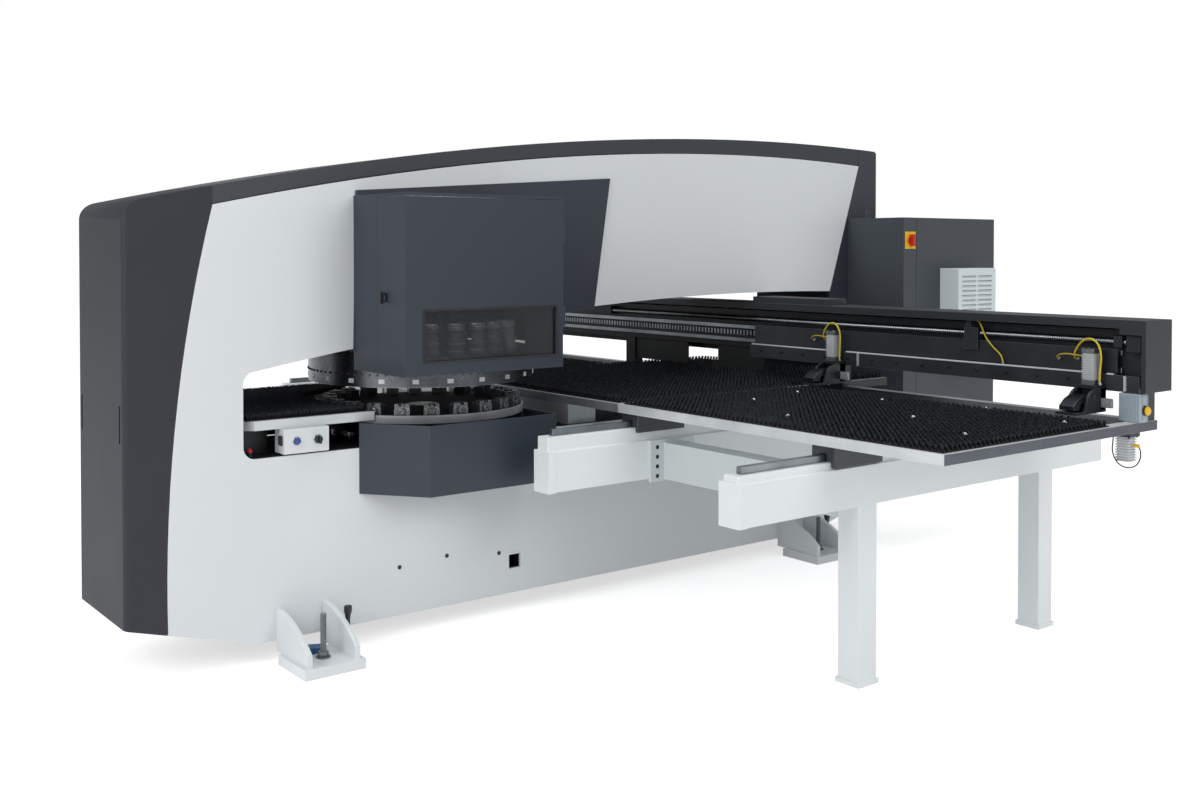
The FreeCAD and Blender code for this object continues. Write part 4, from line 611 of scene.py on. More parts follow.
# The die steel's near-white edges are mostly a painted highlight.
DIE_STEEL = Metal("die_steel", "85888b", 0.34, second="3d4043", metallic=0.7, edge="ffffff",
                  edge_highlight_share=0.95)
RIM_STEEL = Metal("turret_rim_steel", "777a7e", 0.3, second="3a3c40", edge="e9ebec",
                  edge_highlight_share=0.7)
BAND_STEEL = Metal("turret_band_steel", "b9bcbf", 0.4, second="8d9094", metallic=0.35)
BAR_STEEL = Metal("bar_steel", "43474b", grain=Grain.ALONG_X, second="2e3135", metallic=0.35,
                  edge="c9ccce", edge_highlight_share=0.7)
CLAMP_STEEL = Metal("clamp_steel", "4b4e52", second="26292c")
POLISHED_STEEL = Metal("polished_steel", "dcdee0", 0.12, second="b9bcbf")
GALVANISED = Metal("zinc_plated_steel", "9da1a4", 0.38, second="62666a")
NICKEL = Metal("nickel_plate", "c9ccce", 0.2, second="9a9ea2")
TABLE_EDGE = Metal("table_aluminium", "eceff0", 0.4, "aluminium", Grain.ALONG_X, "c6cbce",
                   metallic=0.25, edge="eef0f2", edge_highlight_share=0.6)
# A darker copy of the table aluminium, as painted shade on the fixed table's front strip.
SHADED_FRONT_STRIP = Metal("shaded_front_strip_aluminium", "a4a8ac", 0.45, "aluminium", Grain.ALONG_X, "6f7377",
                    metallic=0.5)
SIDE_STRIP = Metal("side_strip_aluminium", "60656d", 0.45, "aluminium", Grain.ALONG_Y, "4a4f56",
                   metallic=0.5)
ALUMINIUM = Metal("cylinder_aluminium", "dfe3e6", 0.4, "aluminium", Grain.ALONG_Z, "b4b9bd",
                  metallic=0.25)
ALUMINIUM_DARK = Metal("cap_aluminium", "9da1a4", 0.4, "aluminium", second="6f7377")

BLACK_PLASTIC = Moulded("black_plastic", "1b1e22", 0.45, "black_plastic")
END_BOX_PLASTIC = Moulded("end_box_plastic", "a9b6bf", 0.4, "pale_plastic")
YELLOW_PLASTIC = Moulded("yellow_plastic", "f0c010", 0.25, "yellow_plastic", skin_depth=0.00004)
RED_PLASTIC = Moulded("red_plastic", "c8281c", 0.28, "red_plastic", skin_depth=0.00004)
BLUE_PLASTIC = Moulded("blue_plastic", "2a4f9e", 0.3, "blue_plastic", skin_depth=0.00004)
YELLOW_HOSE = Moulded("yellow_hose", "e3c832", 0.35, "yellow_rubber", skin_depth=0.00005)
AMBER_HOSE = Moulded("amber_hose", "cfae2c", 0.35, "yellow_rubber", skin_depth=0.00005)
BLACK_HOSE = Moulded("black_hose", "121316", 0.45, "yellow_rubber", skin_depth=0.00005)
BRUSH_BASE = Moulded("brush_base", "0f1114", 0.55, "bristle")
BRISTLES = Bristle("bristles", "08090c", 0.6)
WINDOW = TintedPane("tinted_window", "050608", 0.08, cover=0.55)


# ---------------------------------------------------------------------------------------------
# Meshes
# ---------------------------------------------------------------------------------------------
class Shape:
    """A mesh in the making, in drawing millimetres."""

    def __init__(self) -> None:
        """Starts empty."""
        self.points: list[Point] = []
        self.faces: list[tuple[int, ...]] = []

    def add(self, points: Iterable[Sequence[float]], faces: Iterable[Sequence[int]]) -> Shape:
        """Adds points and faces.

        Args:
            points: the points.
            faces: the faces that join them, numbered from the first new point.

        Returns:
            This shape.
        """
        start = len(self.points)
        self.points += [tuple(float(value) for value in point) for point in points]
        self.faces += [tuple(start + i for i in face) for face in faces]
        return self

    def join(self, other: Shape) -> Shape:
        """Adds another shape, and returns this one."""
        return self.add(other.points, other.faces)

    def block(self, x: Flat, y: Flat, z: Flat) -> Shape:
        """Adds a rectangular block, given its ranges, and returns this shape."""
        return self.add([(a, b, c) for c in z for b in y for a in x],
                        [(0, 2, 3, 1), (4, 5, 7, 6), (0, 1, 5, 4), (2, 6, 7, 3), (0, 4, 6, 2),
                         (1, 3, 7, 5)])

    def square(self, middle: Flat, half: float, z: Flat) -> Shape:
        """Adds a block that is square seen from above, and returns this shape."""
        x, y = middle
        return self.block((x - half, x + half), (y - half, y + half), z)

    def extrude(self, outline: Sequence[Flat], low: float, high: float, axis: Axis) -> Shape:
        """Adds a prism.

        Args:
            outline: corners in the two directions across the axis, in drawing order.
            low: where it starts along the axis.
            high: where it ends.
            axis: the direction in which it runs.

        Returns:
            This shape.
        """
        count = len(outline)
        faces = [tuple(range(count)), tuple(range(2 * count - 1, count - 1, -1))]
        faces += [(i, (i + 1) % count, count + (i + 1) % count, count + i) for i in range(count)]
        return self.add([across(axis, level, a, b) for level in (low, high) for a, b in outline],
                        faces)

    def sleeve(self, points: list[Point], sides: int, ring: bool = False) -> Shape:
        """Adds a sleeve through rows of points.

        Args:
            points: the points, row by row.
            sides: how many points each row has.
            ring: whether the last row joins the first. If not, both ends are closed.

        Returns:
            This shape.
        """
        rows = len(points) // sides
        faces = []
        for row in range(rows if ring else rows - 1):
            low, high = row * sides, (row + 1) % rows * sides
            for step in range(sides):
                after = (step + 1) % sides
                faces.append((low + step, low + after, high + after, high + step))
        if not ring:
            faces.append(tuple(range(sides)))
            faces.append(tuple(range(rows * sides - 1, (rows - 1) * sides - 1, -1)))
        return self.add(points, faces)

    def turn(self, profile: Sequence[Flat], centre: Point, axis: Axis, sides: int = 24,
             ring: bool = False) -> Shape:
        """Adds a solid of revolution.

        Args:
            profile: distance along the axis from the centre, and radius, from end to end.
            centre: where the profile's distance is nought.
            axis: the direction of the axis.
            sides: faces around it.
            ring: whether the profile closes on itself, about an open middle.

        Returns:
            This shape.
        """
        round_it = [2 * math.pi * step / sides for step in range(sides)]
        points = [moved(centre, across(axis, along, radius * math.cos(angle),
                                       radius * math.sin(angle)))
                  for along, radius in profile for angle in round_it]
        return self.sleeve(points, sides, ring)

    def rod(self, centre: Point, radius: float, length: float, axis: Axis, sides: int = 24,
            round_edge: float = 0.0) -> Shape:
        """Adds a rod with rounded rims.

        Args:
            centre: the middle of its first end.
            radius: its radius.
            length: its length, less than nought where it runs the other way.
            axis: the direction in which it runs.
            sides: faces around it.
            round_edge: how far its rims are rounded.

        Returns:
            This shape.
        """
        edge = min(round_edge, radius * 0.9, abs(length) * 0.45)
        inward = math.copysign(edge, length)
        if edge <= 0:
            profile = [(0.0, radius), (length, radius)]
        else:
            profile = [(0.0, radius - edge), (inward, radius), (length - inward, radius),
                       (length, radius - edge)]
        return self.turn(profile, centre, axis, sides)

    def hexagon(self, centre: Point, across_corners: float, length: float, axis: Axis) -> Shape:
        """Adds a hexagon head with a chamfered outer face.

        Args:
            centre: the middle of its first end.
            across_corners: its width across its corners.
            length: its length, less than nought where it runs the other way.
            axis: the direction in which it runs.

        Returns:
            This shape.
        """
        radius = across_corners / 2
        shoulder = length - math.copysign(radius * 0.15, length)
        return self.turn([(0.0, radius), (shoulder, radius), (length, radius * 0.85)], centre,
                         axis, 6)

    def border(self, first: Flat, second: Flat, width: float, low: float, high: float,
               axis: Axis) -> Shape:
        """Adds a flat rectangular frame.

        Args:
            first: its outer range in the first direction across the axis.
            second: its outer range in the second.
            width: the width of its sides.
            low: where it starts along the axis.
            high: where it ends.
            axis: the direction that it faces.

        Returns:
            This shape.
        """
        (a0, a1), (b0, b1) = first, second
        points = [across(axis, level, a, b) for level in (low, high) for inset in (0.0, width)
                  for a, b in ((a0 + inset, b0 + inset), (a1 - inset, b0 + inset),
                               (a1 - inset, b1 - inset), (a0 + inset, b1 - inset))]
        faces = []
        for i in range(4):
            j = (i + 1) % 4
            faces += [(i, j, 4 + j, 4 + i), (8 + i, 8 + j, 12 + j, 12 + i), (i, j, 8 + j, 8 + i),
                      (4 + i, 4 + j, 12 + j, 12 + i)]
        return self.add(points, faces)

    def helix(self, start: Point, radius: float, length: float, pitch: float, depth: float,
              axis: Axis) -> Shape:
        """Adds a rod with a rolled thread.

        Args:
            start: the middle of its first end.
            radius: its outer radius.
            length: its length.
            pitch: the distance from one ridge to the next.
            depth: the depth of the groove.
            axis: the direction in which it runs.

        Returns:
            This shape.
        """
        sides, rings = 12, int(length / pitch * 4)
        points = []
        for ring in range(rings + 1):
            along = length * ring / rings
            for step in range(sides):
                angle = 2 * math.pi * step / sides
                wave = 0.5 + 0.5 * math.cos(2 * math.pi * along / pitch - angle)
                reach = radius - depth * wave
                points.append(moved(start, across(axis, along, reach * math.cos(angle),
                                                  reach * math.sin(angle))))
        return self.sleeve(points, sides)

    def mesh(self, name: str) -> bpy.types.Mesh:
        """Makes the mesh in metres, facing outwards.

        Args:
            name: the mesh's name.

        Returns:
            The mesh.
        """
        mesh = bpy.data.meshes.new(name)
        mesh.from_pydata([at(*p) for p in self.points], [], self.faces)
        work = bmesh.new()
        work.from_mesh(mesh)
        bmesh.ops.recalc_face_normals(work, faces=work.faces)
        work.to_mesh(mesh)
        work.free()
        mesh.shade_smooth()
        mesh.set_sharp_from_angle(angle=math.radians(32))
        return mesh


def bevel(item: bpy.types.Object, width: float) -> None:
    """Rounds an object's sharp edges.

    Args:
        item: the object.
        width: the rounding, in millimetres.
    """
    modifier = item.modifiers.new("rounded_edges", "BEVEL")
    modifier.width = width / 1000
    modifier.segments = 2
    modifier.limit_method = "ANGLE"
    modifier.angle_limit = math.radians(34)
    modifier.miter_outer = "MITER_ARC"


# ---------------------------------------------------------------------------------------------
# Repeats
# ---------------------------------------------------------------------------------------------
class Repeater:
    """Geometry nodes that set one form on many points and turn them into a plain mesh."""

    SIZES = (("Size", "Float", 1.0), ("Size Spread", "Float", 0.0), ("Lean", "Float", 0.0),
             ("Spin", "Float", 0.0), ("Seed", "Int", 1))

    def __init__(self) -> None:
        """Builds the tree once."""
        tree = bpy.data.node_groups.new("set_on_points", "GeometryNodeTree")
        make = tree.interface.new_socket
        for label, kind in (("Points", "Geometry"), ("Form", "Object"), ("Finish", "Material")):
            make(label, in_out="INPUT", socket_type="NodeSocket" + kind)
        for label, kind, value in self.SIZES:
            make(label, in_out="INPUT", socket_type="NodeSocket" + kind).default_value = value
        make("Mesh", in_out="OUTPUT", socket_type="NodeSocketGeometry")
        graph = Graph(tree)
        takes = graph.add("NodeGroupInput").outputs
        form = graph.add("GeometryNodeObjectInfo", {"Object": takes["Form"]})
        turn = graph.add("GeometryNodeInputNamedAttribute", {"Name": "turn"},
                         data_type="FLOAT_VECTOR").outputs[0]
        lean, spin = takes["Lean"], takes["Spin"]
        high = graph.add("ShaderNodeCombineXYZ", {0: lean, 1: lean, 2: spin}).outputs[0]
        low = graph.add("ShaderNodeVectorMath", {0: high, 1: (-1.0, -1.0, -1.0)},
                        operation="MULTIPLY").outputs[0]
        chance = graph.add("FunctionNodeRandomValue", {0: low, 1: high, "Seed": takes["Seed"]},
                           data_type="FLOAT_VECTOR").outputs[0]
        angles = graph.add("ShaderNodeVectorMath", {0: turn, 1: chance},
                           operation="ADD").outputs[0]
        least = graph.math("SUBTRACT", takes["Size"], takes["Size Spread"])
        most = graph.math("ADD", takes["Size"], takes["Size Spread"])
        sizes = graph.add("FunctionNodeRandomValue", {2: least, 3: most, "Seed": takes["Seed"]},
                          data_type="FLOAT").outputs[1]
        placed = graph.add("GeometryNodeInstanceOnPoints", {
            "Points": takes["Points"], "Instance": form.outputs["Geometry"],
            "Rotation": angles, "Scale": sizes}).outputs[0]
        real = graph.add("GeometryNodeRealizeInstances", {0: placed}).outputs[0]
        dressed = graph.add("GeometryNodeSetMaterial", {0: real, "Material": takes["Finish"]})
        graph.add("NodeGroupOutput", {0: dressed.outputs[0]})
        self.tree = tree
        self.keys = {item.name: item.identifier for item in tree.interface.items_tree
                     if item.in_out == "INPUT"}

    def make(self, name: str, form: Shape, spots: Sequence[Point], finish: Finish,
             turns: Sequence[Point] | None = None, **sizes: float) -> bpy.types.Mesh:
        """Sets a form on points.

        Args:
            name: the mesh's name.
            form: the form, drawn about the drawing's origin.
            spots: where the copies stand, in drawing millimetres.
            finish: the mesh's finish.
            turns: a turn about X, Y and Z for each spot, in radians.
            **sizes: the tree's named sizes, with underscores for spaces.

        Returns:
            One plain mesh.
        """
        pattern = form.mesh(name + "_form")
        for vertex in pattern.vertices:
            vertex.co.y += NEAR_END / 1000
        template = new_object(name + "_form", pattern)
        cloud = bpy.data.meshes.new(name + "_points")
        cloud.from_pydata([at(*spot) for spot in spots], [], [])
        angles = cloud.attributes.new("turn", "FLOAT_VECTOR", "POINT")
        flat = [value for turn in (turns or [(0.0, 0.0, 0.0)] * len(spots)) for value in turn]
        angles.data.foreach_set("vector", flat)
        holder = new_object(name + "_holder", cloud)
        modifier = holder.modifiers.new("repeat", "NODES")
        modifier.node_group = self.tree
        modifier[self.keys["Form"]] = template
        modifier[self.keys["Finish"]] = finish.material()
        for key, value in sizes.items():
            modifier[self.keys[key.replace("_", " ")]] = value
        graph = bpy.context.evaluated_depsgraph_get()
        mesh = bpy.data.meshes.new_from_object(holder.evaluated_get(graph))
        mesh.name = name
        for item in (holder, template):
            bpy.data.objects.remove(item)
        if "turn" in mesh.attributes:
            mesh.attributes.remove(mesh.attributes["turn"])
        return mesh


# ---------------------------------------------------------------------------------------------
# Studio
# ---------------------------------------------------------------------------------------------
@dataclass(frozen=True)
class Lamp:
    """One soft round lamp: where it hangs, where it points, its width and its power."""

    name: str
    place: Point
    target: Point
    size: float
    power: float


@dataclass
class Studio:
    """The white floor, the soft lamps and the camera, in metres and degrees."""

    place: Point = (4.904, -3.778, 1.62)
    azimuth: float = 52.12
    pitch: float = -1.001
    lens: float = 37.27
    shift: float = -0.1076
    floor_half: float = 30.0
    lamps: tuple[Lamp, ...] = (
        Lamp("front_lamp", (2.5, -8.0, 4.5), (0.0, -1.0, 1.0), 5.0, 215.0),
        Lamp("side_lamp", (9.0, 1.0, 5.0), (0.5, 0.0, 1.0), 5.0, 165.0),
        Lamp("top_lamp", (0.5, 0.5, 8.0), (0.0, 0.0, 1.0), 6.0, 130.0),
        Lamp("guard_lamp", (0.56, -1.1, 1.76), (0.3, -0.95, 1.2), 0.2, 2.5))

    def camera(self) -> None:
        """Sets the camera where the photograph was taken from."""
        turn, tip = math.radians(self.azimuth), math.radians(self.pitch)
        forward = Vector((-math.sin(turn) * math.cos(tip), math.cos(turn) * math.cos(tip),
                          math.sin(tip)))
        right = forward.cross(Vector((0, 0, 1))).normalized()
        up = right.cross(forward)
        data = bpy.data.cameras.new("camera")
        data.sensor_width = 36.0
        data.lens = self.lens
        data.shift_y = self.shift
        data.clip_end = 100.0
        item = new_object("camera", data)
        item.matrix_world = Matrix((
            (right.x, up.x, -forward.x, self.place[0]), (right.y, up.y, -forward.y, self.place[1]),
            (right.z, up.z, -forward.z, self.place[2]), (0, 0, 0, 1)))
        bpy.context.scene.camera = item

    def world(self) -> None:
        """Makes the background white, and the light from all round plain."""
        world = bpy.data.worlds.new("studio")
        world.use_nodes = True
        world.node_tree.nodes.clear()
        graph = Graph(world.node_tree)
        rays = graph.add("ShaderNodeLightPath").outputs
        seen = graph.math("MAXIMUM", rays["Is Camera Ray"], rays["Is Transmission Ray"])
        light = graph.add("ShaderNodeBackground", {"Color": (0.97, 0.985, 1.0, 1.0),
                                                   "Strength": 0.5})
        white = graph.add("ShaderNodeBackground", {"Color": (1.0, 1.0, 1.0, 1.0),
                                                   "Strength": 1.0})
        mix = graph.add("ShaderNodeMixShader", {0: seen, 1: light.outputs[0],
                                                2: white.outputs[0]})
        graph.add("ShaderNodeOutputWorld", {"Surface": mix.outputs[0]})
        bpy.context.scene.world = world

    def floor(self) -> None:
        """Lays a plain pale floor that keeps the machine's shadow."""
        half = self.floor_half
        mesh = bpy.data.meshes.new("floor")
        mesh.from_pydata([(-half, -half, 0), (half, -half, 0), (half, half, 0), (-half, half, 0)],
                         [], [(0, 1, 2, 3)])
        item = new_object("floor", mesh)
        material, graph = blank_material("studio_floor")
        rays = graph.add("ShaderNodeLightPath").outputs
        seen = graph.math("MAXIMUM", graph.math("MAXIMUM", rays["Is Camera Ray"],
                                                rays["Is Glossy Ray"]), rays["Is Transmission Ray"])
        glow = graph.add("ShaderNodeEmission", {"Color": (1.0, 1.0, 1.0, 1.0), "Strength": 0.62})
        plain = graph.add("ShaderNodeBsdfDiffuse", {"Color": (0.9, 0.9, 0.9, 1.0)})
        both = graph.add("ShaderNodeAddShader", {0: glow.outputs[0], 1: plain.outputs[0]})
        mix = graph.add("ShaderNodeMixShader", {0: seen, 1: plain.outputs[0],
                                                2: both.outputs[0]})
        graph.add("ShaderNodeOutputMaterial", {"Surface": mix.outputs[0]})
        mesh.materials.append(material)

    def hang(self, lamp: Lamp) -> None:
        """Hangs one lamp and points it at the machine.

        Args:
            lamp: the lamp.
        """
        data = bpy.data.lights.new(lamp.name, "AREA")
        data.shape = "DISK"
        data.size = lamp.size
        data.energy = lamp.power
        item = new_object(lamp.name, data)
        item.location = lamp.place
        way = Vector(lamp.target) - Vector(lamp.place)
        item.rotation_euler = way.to_track_quat("-Z", "Y").to_euler()

    def build(self) -> None:
        """Sets up the studio."""
        bpy.context.scene.view_settings.view_transform = "Standard"
        self.camera()
        self.world()
        self.floor()
        for lamp in self.lamps:
            self.hang(lamp)
        log.info("studio ready")


# ---------------------------------------------------------------------------------------------
# The machine, one class for each sub-assembly
# ---------------------------------------------------------------------------------------------
@dataclass
class SubAssembly:
    """What every sub-assembly has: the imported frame, and ways to make and dress pieces on it."""

    frame: dict[str, Any]
    repeater: Repeater

    def piece(self, name: str, shape: Shape | bpy.types.Mesh, finish: Finish, body: str,
              rounded: float = 0.0, replaces: Sequence[str] = ()) -> bpy.types.Object:
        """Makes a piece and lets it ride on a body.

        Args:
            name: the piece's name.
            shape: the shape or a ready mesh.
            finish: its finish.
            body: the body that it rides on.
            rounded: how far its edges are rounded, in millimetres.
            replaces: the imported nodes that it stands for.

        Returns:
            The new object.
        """
        mesh = shape.mesh(name) if isinstance(shape, Shape) else shape
        item = new_object(name, mesh)
        mesh.materials.clear()
        mesh.materials.append(finish.material())
        mesh.polygons.foreach_set("material_index", [0] * len(mesh.polygons))
        if rounded:
            bevel(item, rounded)
        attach(item, body)
        if replaces:
            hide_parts(*replaces)
        log.info("piece %s: %d faces, on %s", name, len(mesh.polygons), body)
        return item

    def repeat(self, name: str, form: Shape, spots: Sequence[Point], finish: Finish, body: str,
               turns: Sequence[Point] | None = None, rounded: float = 0.0,
               replaces: Sequence[str] = (), **sizes: float) -> bpy.types.Object:
        """Sets a form on many spots and makes them one piece.

        Args:
            name: the piece's name.
            form: the form, drawn about the drawing's origin.
            spots: where the copies stand.
            finish: the piece's finish.
            body: the body that it rides on.
            turns: a turn about X, Y and Z for each spot, in radians.
            rounded: how far its edges are rounded, in millimetres.
            replaces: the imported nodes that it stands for.
            **sizes: the repeater's named sizes.

        Returns:
            The new object.
        """
        mesh = self.repeater.make(name, form, spots, finish, turns, **sizes)
        return self.piece(name, mesh, finish, body, rounded, replaces)

    def dress(self, finish: Finish, *nodes: str, rounded: float = 0.0,
              whole: bool = False) -> None:
        """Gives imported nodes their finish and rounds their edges.

        Args:
            finish: the finish.
            *nodes: the nodes' names.
            rounded: how far their edges are rounded, in millimetres.
            whole: whether flat faces are joined first, for nodes with small round holes.
        """
        for node in nodes:
            item = self.frame["nodes"][node]
            item.data.materials.clear()
            item.data.materials.append(finish.material())
            if rounded:
                weld = item.modifiers.new("joined_faces", "WELD")
                weld.merge_threshold = 0.00002
                if whole:
                    flat = item.modifiers.new("whole_faces", "DECIMATE")
                    flat.decimate_type = "DISSOLVE"
                    flat.angle_limit = math.radians(0.5)
                bevel(item, rounded)
            log.info("dressed %s", node)


@dataclass(frozen=True)
class Hose:
    """One hose or cable between two fittings, with the route that the solids follow."""

    name: str
    points: tuple[Point, ...]
    diameter: float
    length: float
    finish: Finish
    body: str
    node: str


@dataclass
class Hoses(SubAssembly):
    """The air hoses of the workholders and the cables at the beam's end."""

    over: tuple[Point, ...] = (
        (36, 3156, 1085), (36, 3156, 1136), (45, 3153, 1190), (38, 3152, 1238), (10, 3154, 1266),
        (-30, 3160, 1264), (-64, 3168, 1236), (-86, 3174, 1200), (-92, 3192, 1176),
        (-92, 3222, 1176))
    tail: tuple[Point, ...] = (
        (-26, 3150, 1196), (-60, 3150, 1196), (-100, 3158, 1200), (-140, 3168, 1196),
        (-166, 3180, 1184), (-178, 3196, 1172), (-178, 3222, 1172))
    feed: tuple[Point, ...] = (
        (1624, 3208, 1314), (1658, 3208, 1314), (1676, 3207, 1286), (1696, 3205, 1242),
        (1734, 3206, 1200), (1784, 3207, 1162), (1784, 3207, 1125))
    end: tuple[Point, ...] = (
        (2406, 3200, 1337), (2406, 3200, 1286), (2415, 3202, 1236), (2417, 3206, 1186),
        (2394, 3224, 1152), (2394, 3262, 1152))
    sensor: tuple[Point, ...] = (
        (2306, 3172, 910), (2306, 3172, 876), (2314, 3146, 834), (2342, 3131, 794),
        (2380, 3130, 776), (2418, 3140, 786), (2428, 3158, 820), (2416, 3170, 862),
        (2389, 3170, 862))

    def routes(self) -> list[Hose]:
        """Lists every hose with its diameter in millimetres and its real length in metres.

        Returns:
            The hoses.
        """
        hoses = []
        for number, middle in enumerate(CLAMP_MIDDLES, start=1):
            for label, route, thick, length, finish in (
                    ("over", self.over, 8.0, 0.3724, YELLOW_HOSE),
                    ("tail", self.tail, 6.0, 0.1938, AMBER_HOSE)):
                points = tuple((middle + x, y, z) for x, y, z in route)
                hoses.append(Hose(f"clamp_{number}_{label}_hose", points, thick, length, finish,
                                  "x_carriage", "clamp_hoses"))
        hoses.append(Hose("feed_hose", self.feed, 7.0, 0.2631, YELLOW_HOSE, "x_carriage",
                          "clamp_hoses"))
        hoses.append(Hose("beam_end_hose", self.end, 6.0, 0.2266, AMBER_HOSE, "y_carriage",
                          "beam_cables"))
        hoses.append(Hose("locator_cable", self.sensor, 5.0, 0.3134, BLACK_HOSE, "y_carriage",
                          "beam_cables"))
        return hoses

    def lay(self, hose: Hose) -> None:
        """Makes one hose as a smooth curve and logs its name and length.

        Args:
            hose: the hose.
        """
        data = bpy.data.curves.new(hose.name, "CURVE")
        data.dimensions = "3D"
        data.bevel_depth = hose.diameter / 2000
        data.bevel_resolution = 4
        data.resolution_u = 10
        data.use_fill_caps = True
        line = data.splines.new("NURBS")
        line.points.add(len(hose.points) - 1)
        for spot, point in zip(line.points, hose.points):
            spot.co = (*at(*point), 1.0)
        line.order_u = 3
        line.use_endpoint_u = True
        data.materials.append(hose.finish.material())
        item = new_object(hose.name, data)
        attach(item, hose.body)
        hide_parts(hose.node)
        log.info("hose %s: %.3f m", hose.name, hose.length)

    def fitting(self, shape: Shape, spot: Point, axis: Axis, way: float, bore: float) -> None:
        """Adds the push-in fitting that a hose goes into: a nut and a release ring.

        Args:
            shape: the shape that it joins.
            spot: where the hose's end is.
            axis: the direction of the hose there.
            way: 1 where the fitting stands towards the axis's end, -1 towards its start.
            bore: the size of its opening.
        """
        nut = 9.0 * way
        shape.hexagon(spot, bore * 2.1, nut, axis)
        shape.turn([(0.0, bore * 0.85), (3.0 * way, bore * 0.85), (4.0 * way, bore * 0.7)],
                   moved(spot, across(axis, nut, 0.0, 0.0)), axis, 16)

    def fittings(self) -> None:
        """Makes the fittings on both carriages."""
        carriage = Shape()
        for middle in CLAMP_MIDDLES:
            for spot, axis, way in ((self.over[0], Axis.Z, 1.0), (self.over[-1], Axis.Y, -1.0),
                                    (self.tail[0], Axis.X, -1.0), (self.tail[-1], Axis.Y, -1.0)):
                self.fitting(carriage, moved(spot, (middle, 0, 0)), axis, way, 8.0)
        self.fitting(carriage, self.feed[0], Axis.X, 1.0, 7.5)
        self.fitting(carriage, self.feed[-1], Axis.Z, 1.0, 7.5)
        self.piece("carriage_fittings", carriage, NICKEL, "x_carriage", 0.5)
        beam = Shape()
        self.fitting(beam, self.end[0], Axis.Z, -1.0, 7.0)
        self.fitting(beam, self.end[-1], Axis.Y, -1.0, 7.0)
        self.fitting(beam, self.sensor[0], Axis.Z, -1.0, 6.5)
        self.piece("beam_fittings", beam, NICKEL, "y_carriage", 0.5)
        plug = Shape().rod(self.sensor[-1], 6.5, 26.0, Axis.X, 16, 1.0)
        self.piece("locator_plug", plug, YELLOW_PLASTIC, "y_carriage")

    def build(self) -> None:
        """Makes the hoses first, then their fittings."""
        for hose in self.routes():
            self.lay(hose)
        self.fittings()


@dataclass
class FrameShell(SubAssembly):
    """The welded frame, its folded covers and the pale side panels."""

    cover_edge: float = 3.0
    panel_edge: float = 4.0
    # Dark sheets standing for the shade behind the slot and round the turret's far side.
    shade_sheet_blocks: tuple[tuple[Flat, Flat, Flat], ...] = (
        ((-276, -272), (456, 930), (806, 905)), ((-280, 280), (1908, 1913), (1190, 1440)),
        ((-281, -276), (1729, 1913), (1186, 1440)))
    shade_arc_radii: Flat = (511.0, 508.0)
    shade_arc_z: Flat = (1184, 1440)
    sight_holes: tuple[Flat, ...] = ((1130, 283), (1360, 297), (1628, 268))
    access_hole: tuple[Flat, Flat] = ((1671, 1751), (181, 261))
    lamp_foot: Point = (225, 500, 803)

    def draw_shade_sheets(self) -> Shape:
        """Draws dark sheets behind the slot and round the turret's far side, as painted shade
        inside the throat.

        Returns:
            The shape.
        """
        shape = Shape()
        for sheet in self.shade_sheet_blocks:
            shape.block(*sheet)
        outer, inner = self.shade_arc_radii
        arc = [(radius * math.cos(math.radians(angle)),
                TURRET_Y + radius * math.sin(math.radians(angle)))
               for radius, angles in ((outer, range(100, 150, 7)), (inner, range(149, 99, -7)))
               for angle in angles]
        return shape.extrude(arc, *self.shade_arc_z, Axis.Z)

    def build(self) -> None:
        """Dresses the frame's nodes and adds the small fittings on them."""
        # The frame's near-black colour is painted shade inside the throat.
        self.dress(SHADED_FRAME_STEEL, "main_frame")
        # The near end cover's darker charcoal is painted shade.
        self.dress(SHADED_END_COVER_PAINT, "near_end_cover", rounded=self.cover_edge)
        self.dress(CHARCOAL_PAINT, "top_cover", "far_end_cover", rounded=self.cover_edge)
        self.dress(WHITE_PAINT, "front_side_panel", "rear_side_panel", rounded=self.panel_edge,
                   whole=True)
        # Painted shade: dark sheets in the frame's colour behind the slot and round the turret.
        self.piece("inner_lining", self.draw_shade_sheets(), SHADED_FRAME_STEEL, "machine", 0.5)
        bushes = Shape()
        for y, z in self.sight_holes:
            bushes.turn([(-1, 5.9), (0.8, 5.9), (0.8, 9.5), (-0.2, 9.5)], (282, y, z), Axis.X, 18)
        self.piece("sight_hole_bushes", bushes, BLACK_PLASTIC, "machine")
        rim = Shape().border(*self.access_hole, 9.0, 281.5, 285.0, Axis.X)
        self.piece("access_hole_rim", rim, WHITE_PAINT, "machine", 1.0)
        base = Shape().turn([(0, 16), (5, 16), (6, 12), (20, 12)], self.lamp_foot, Axis.Z, 20)
        self.piece("lamp_base", base, BLACK_PLASTIC, "machine", 0.6)
        dome = Shape().turn([(0, 11), (8, 11), (13, 8.5), (15.5, 4.5)],
                            moved(self.lamp_foot, (0, 0, 20)), Axis.Z, 20)
        self.piece("lamp_dome", dome, RED_PLASTIC, "machine")


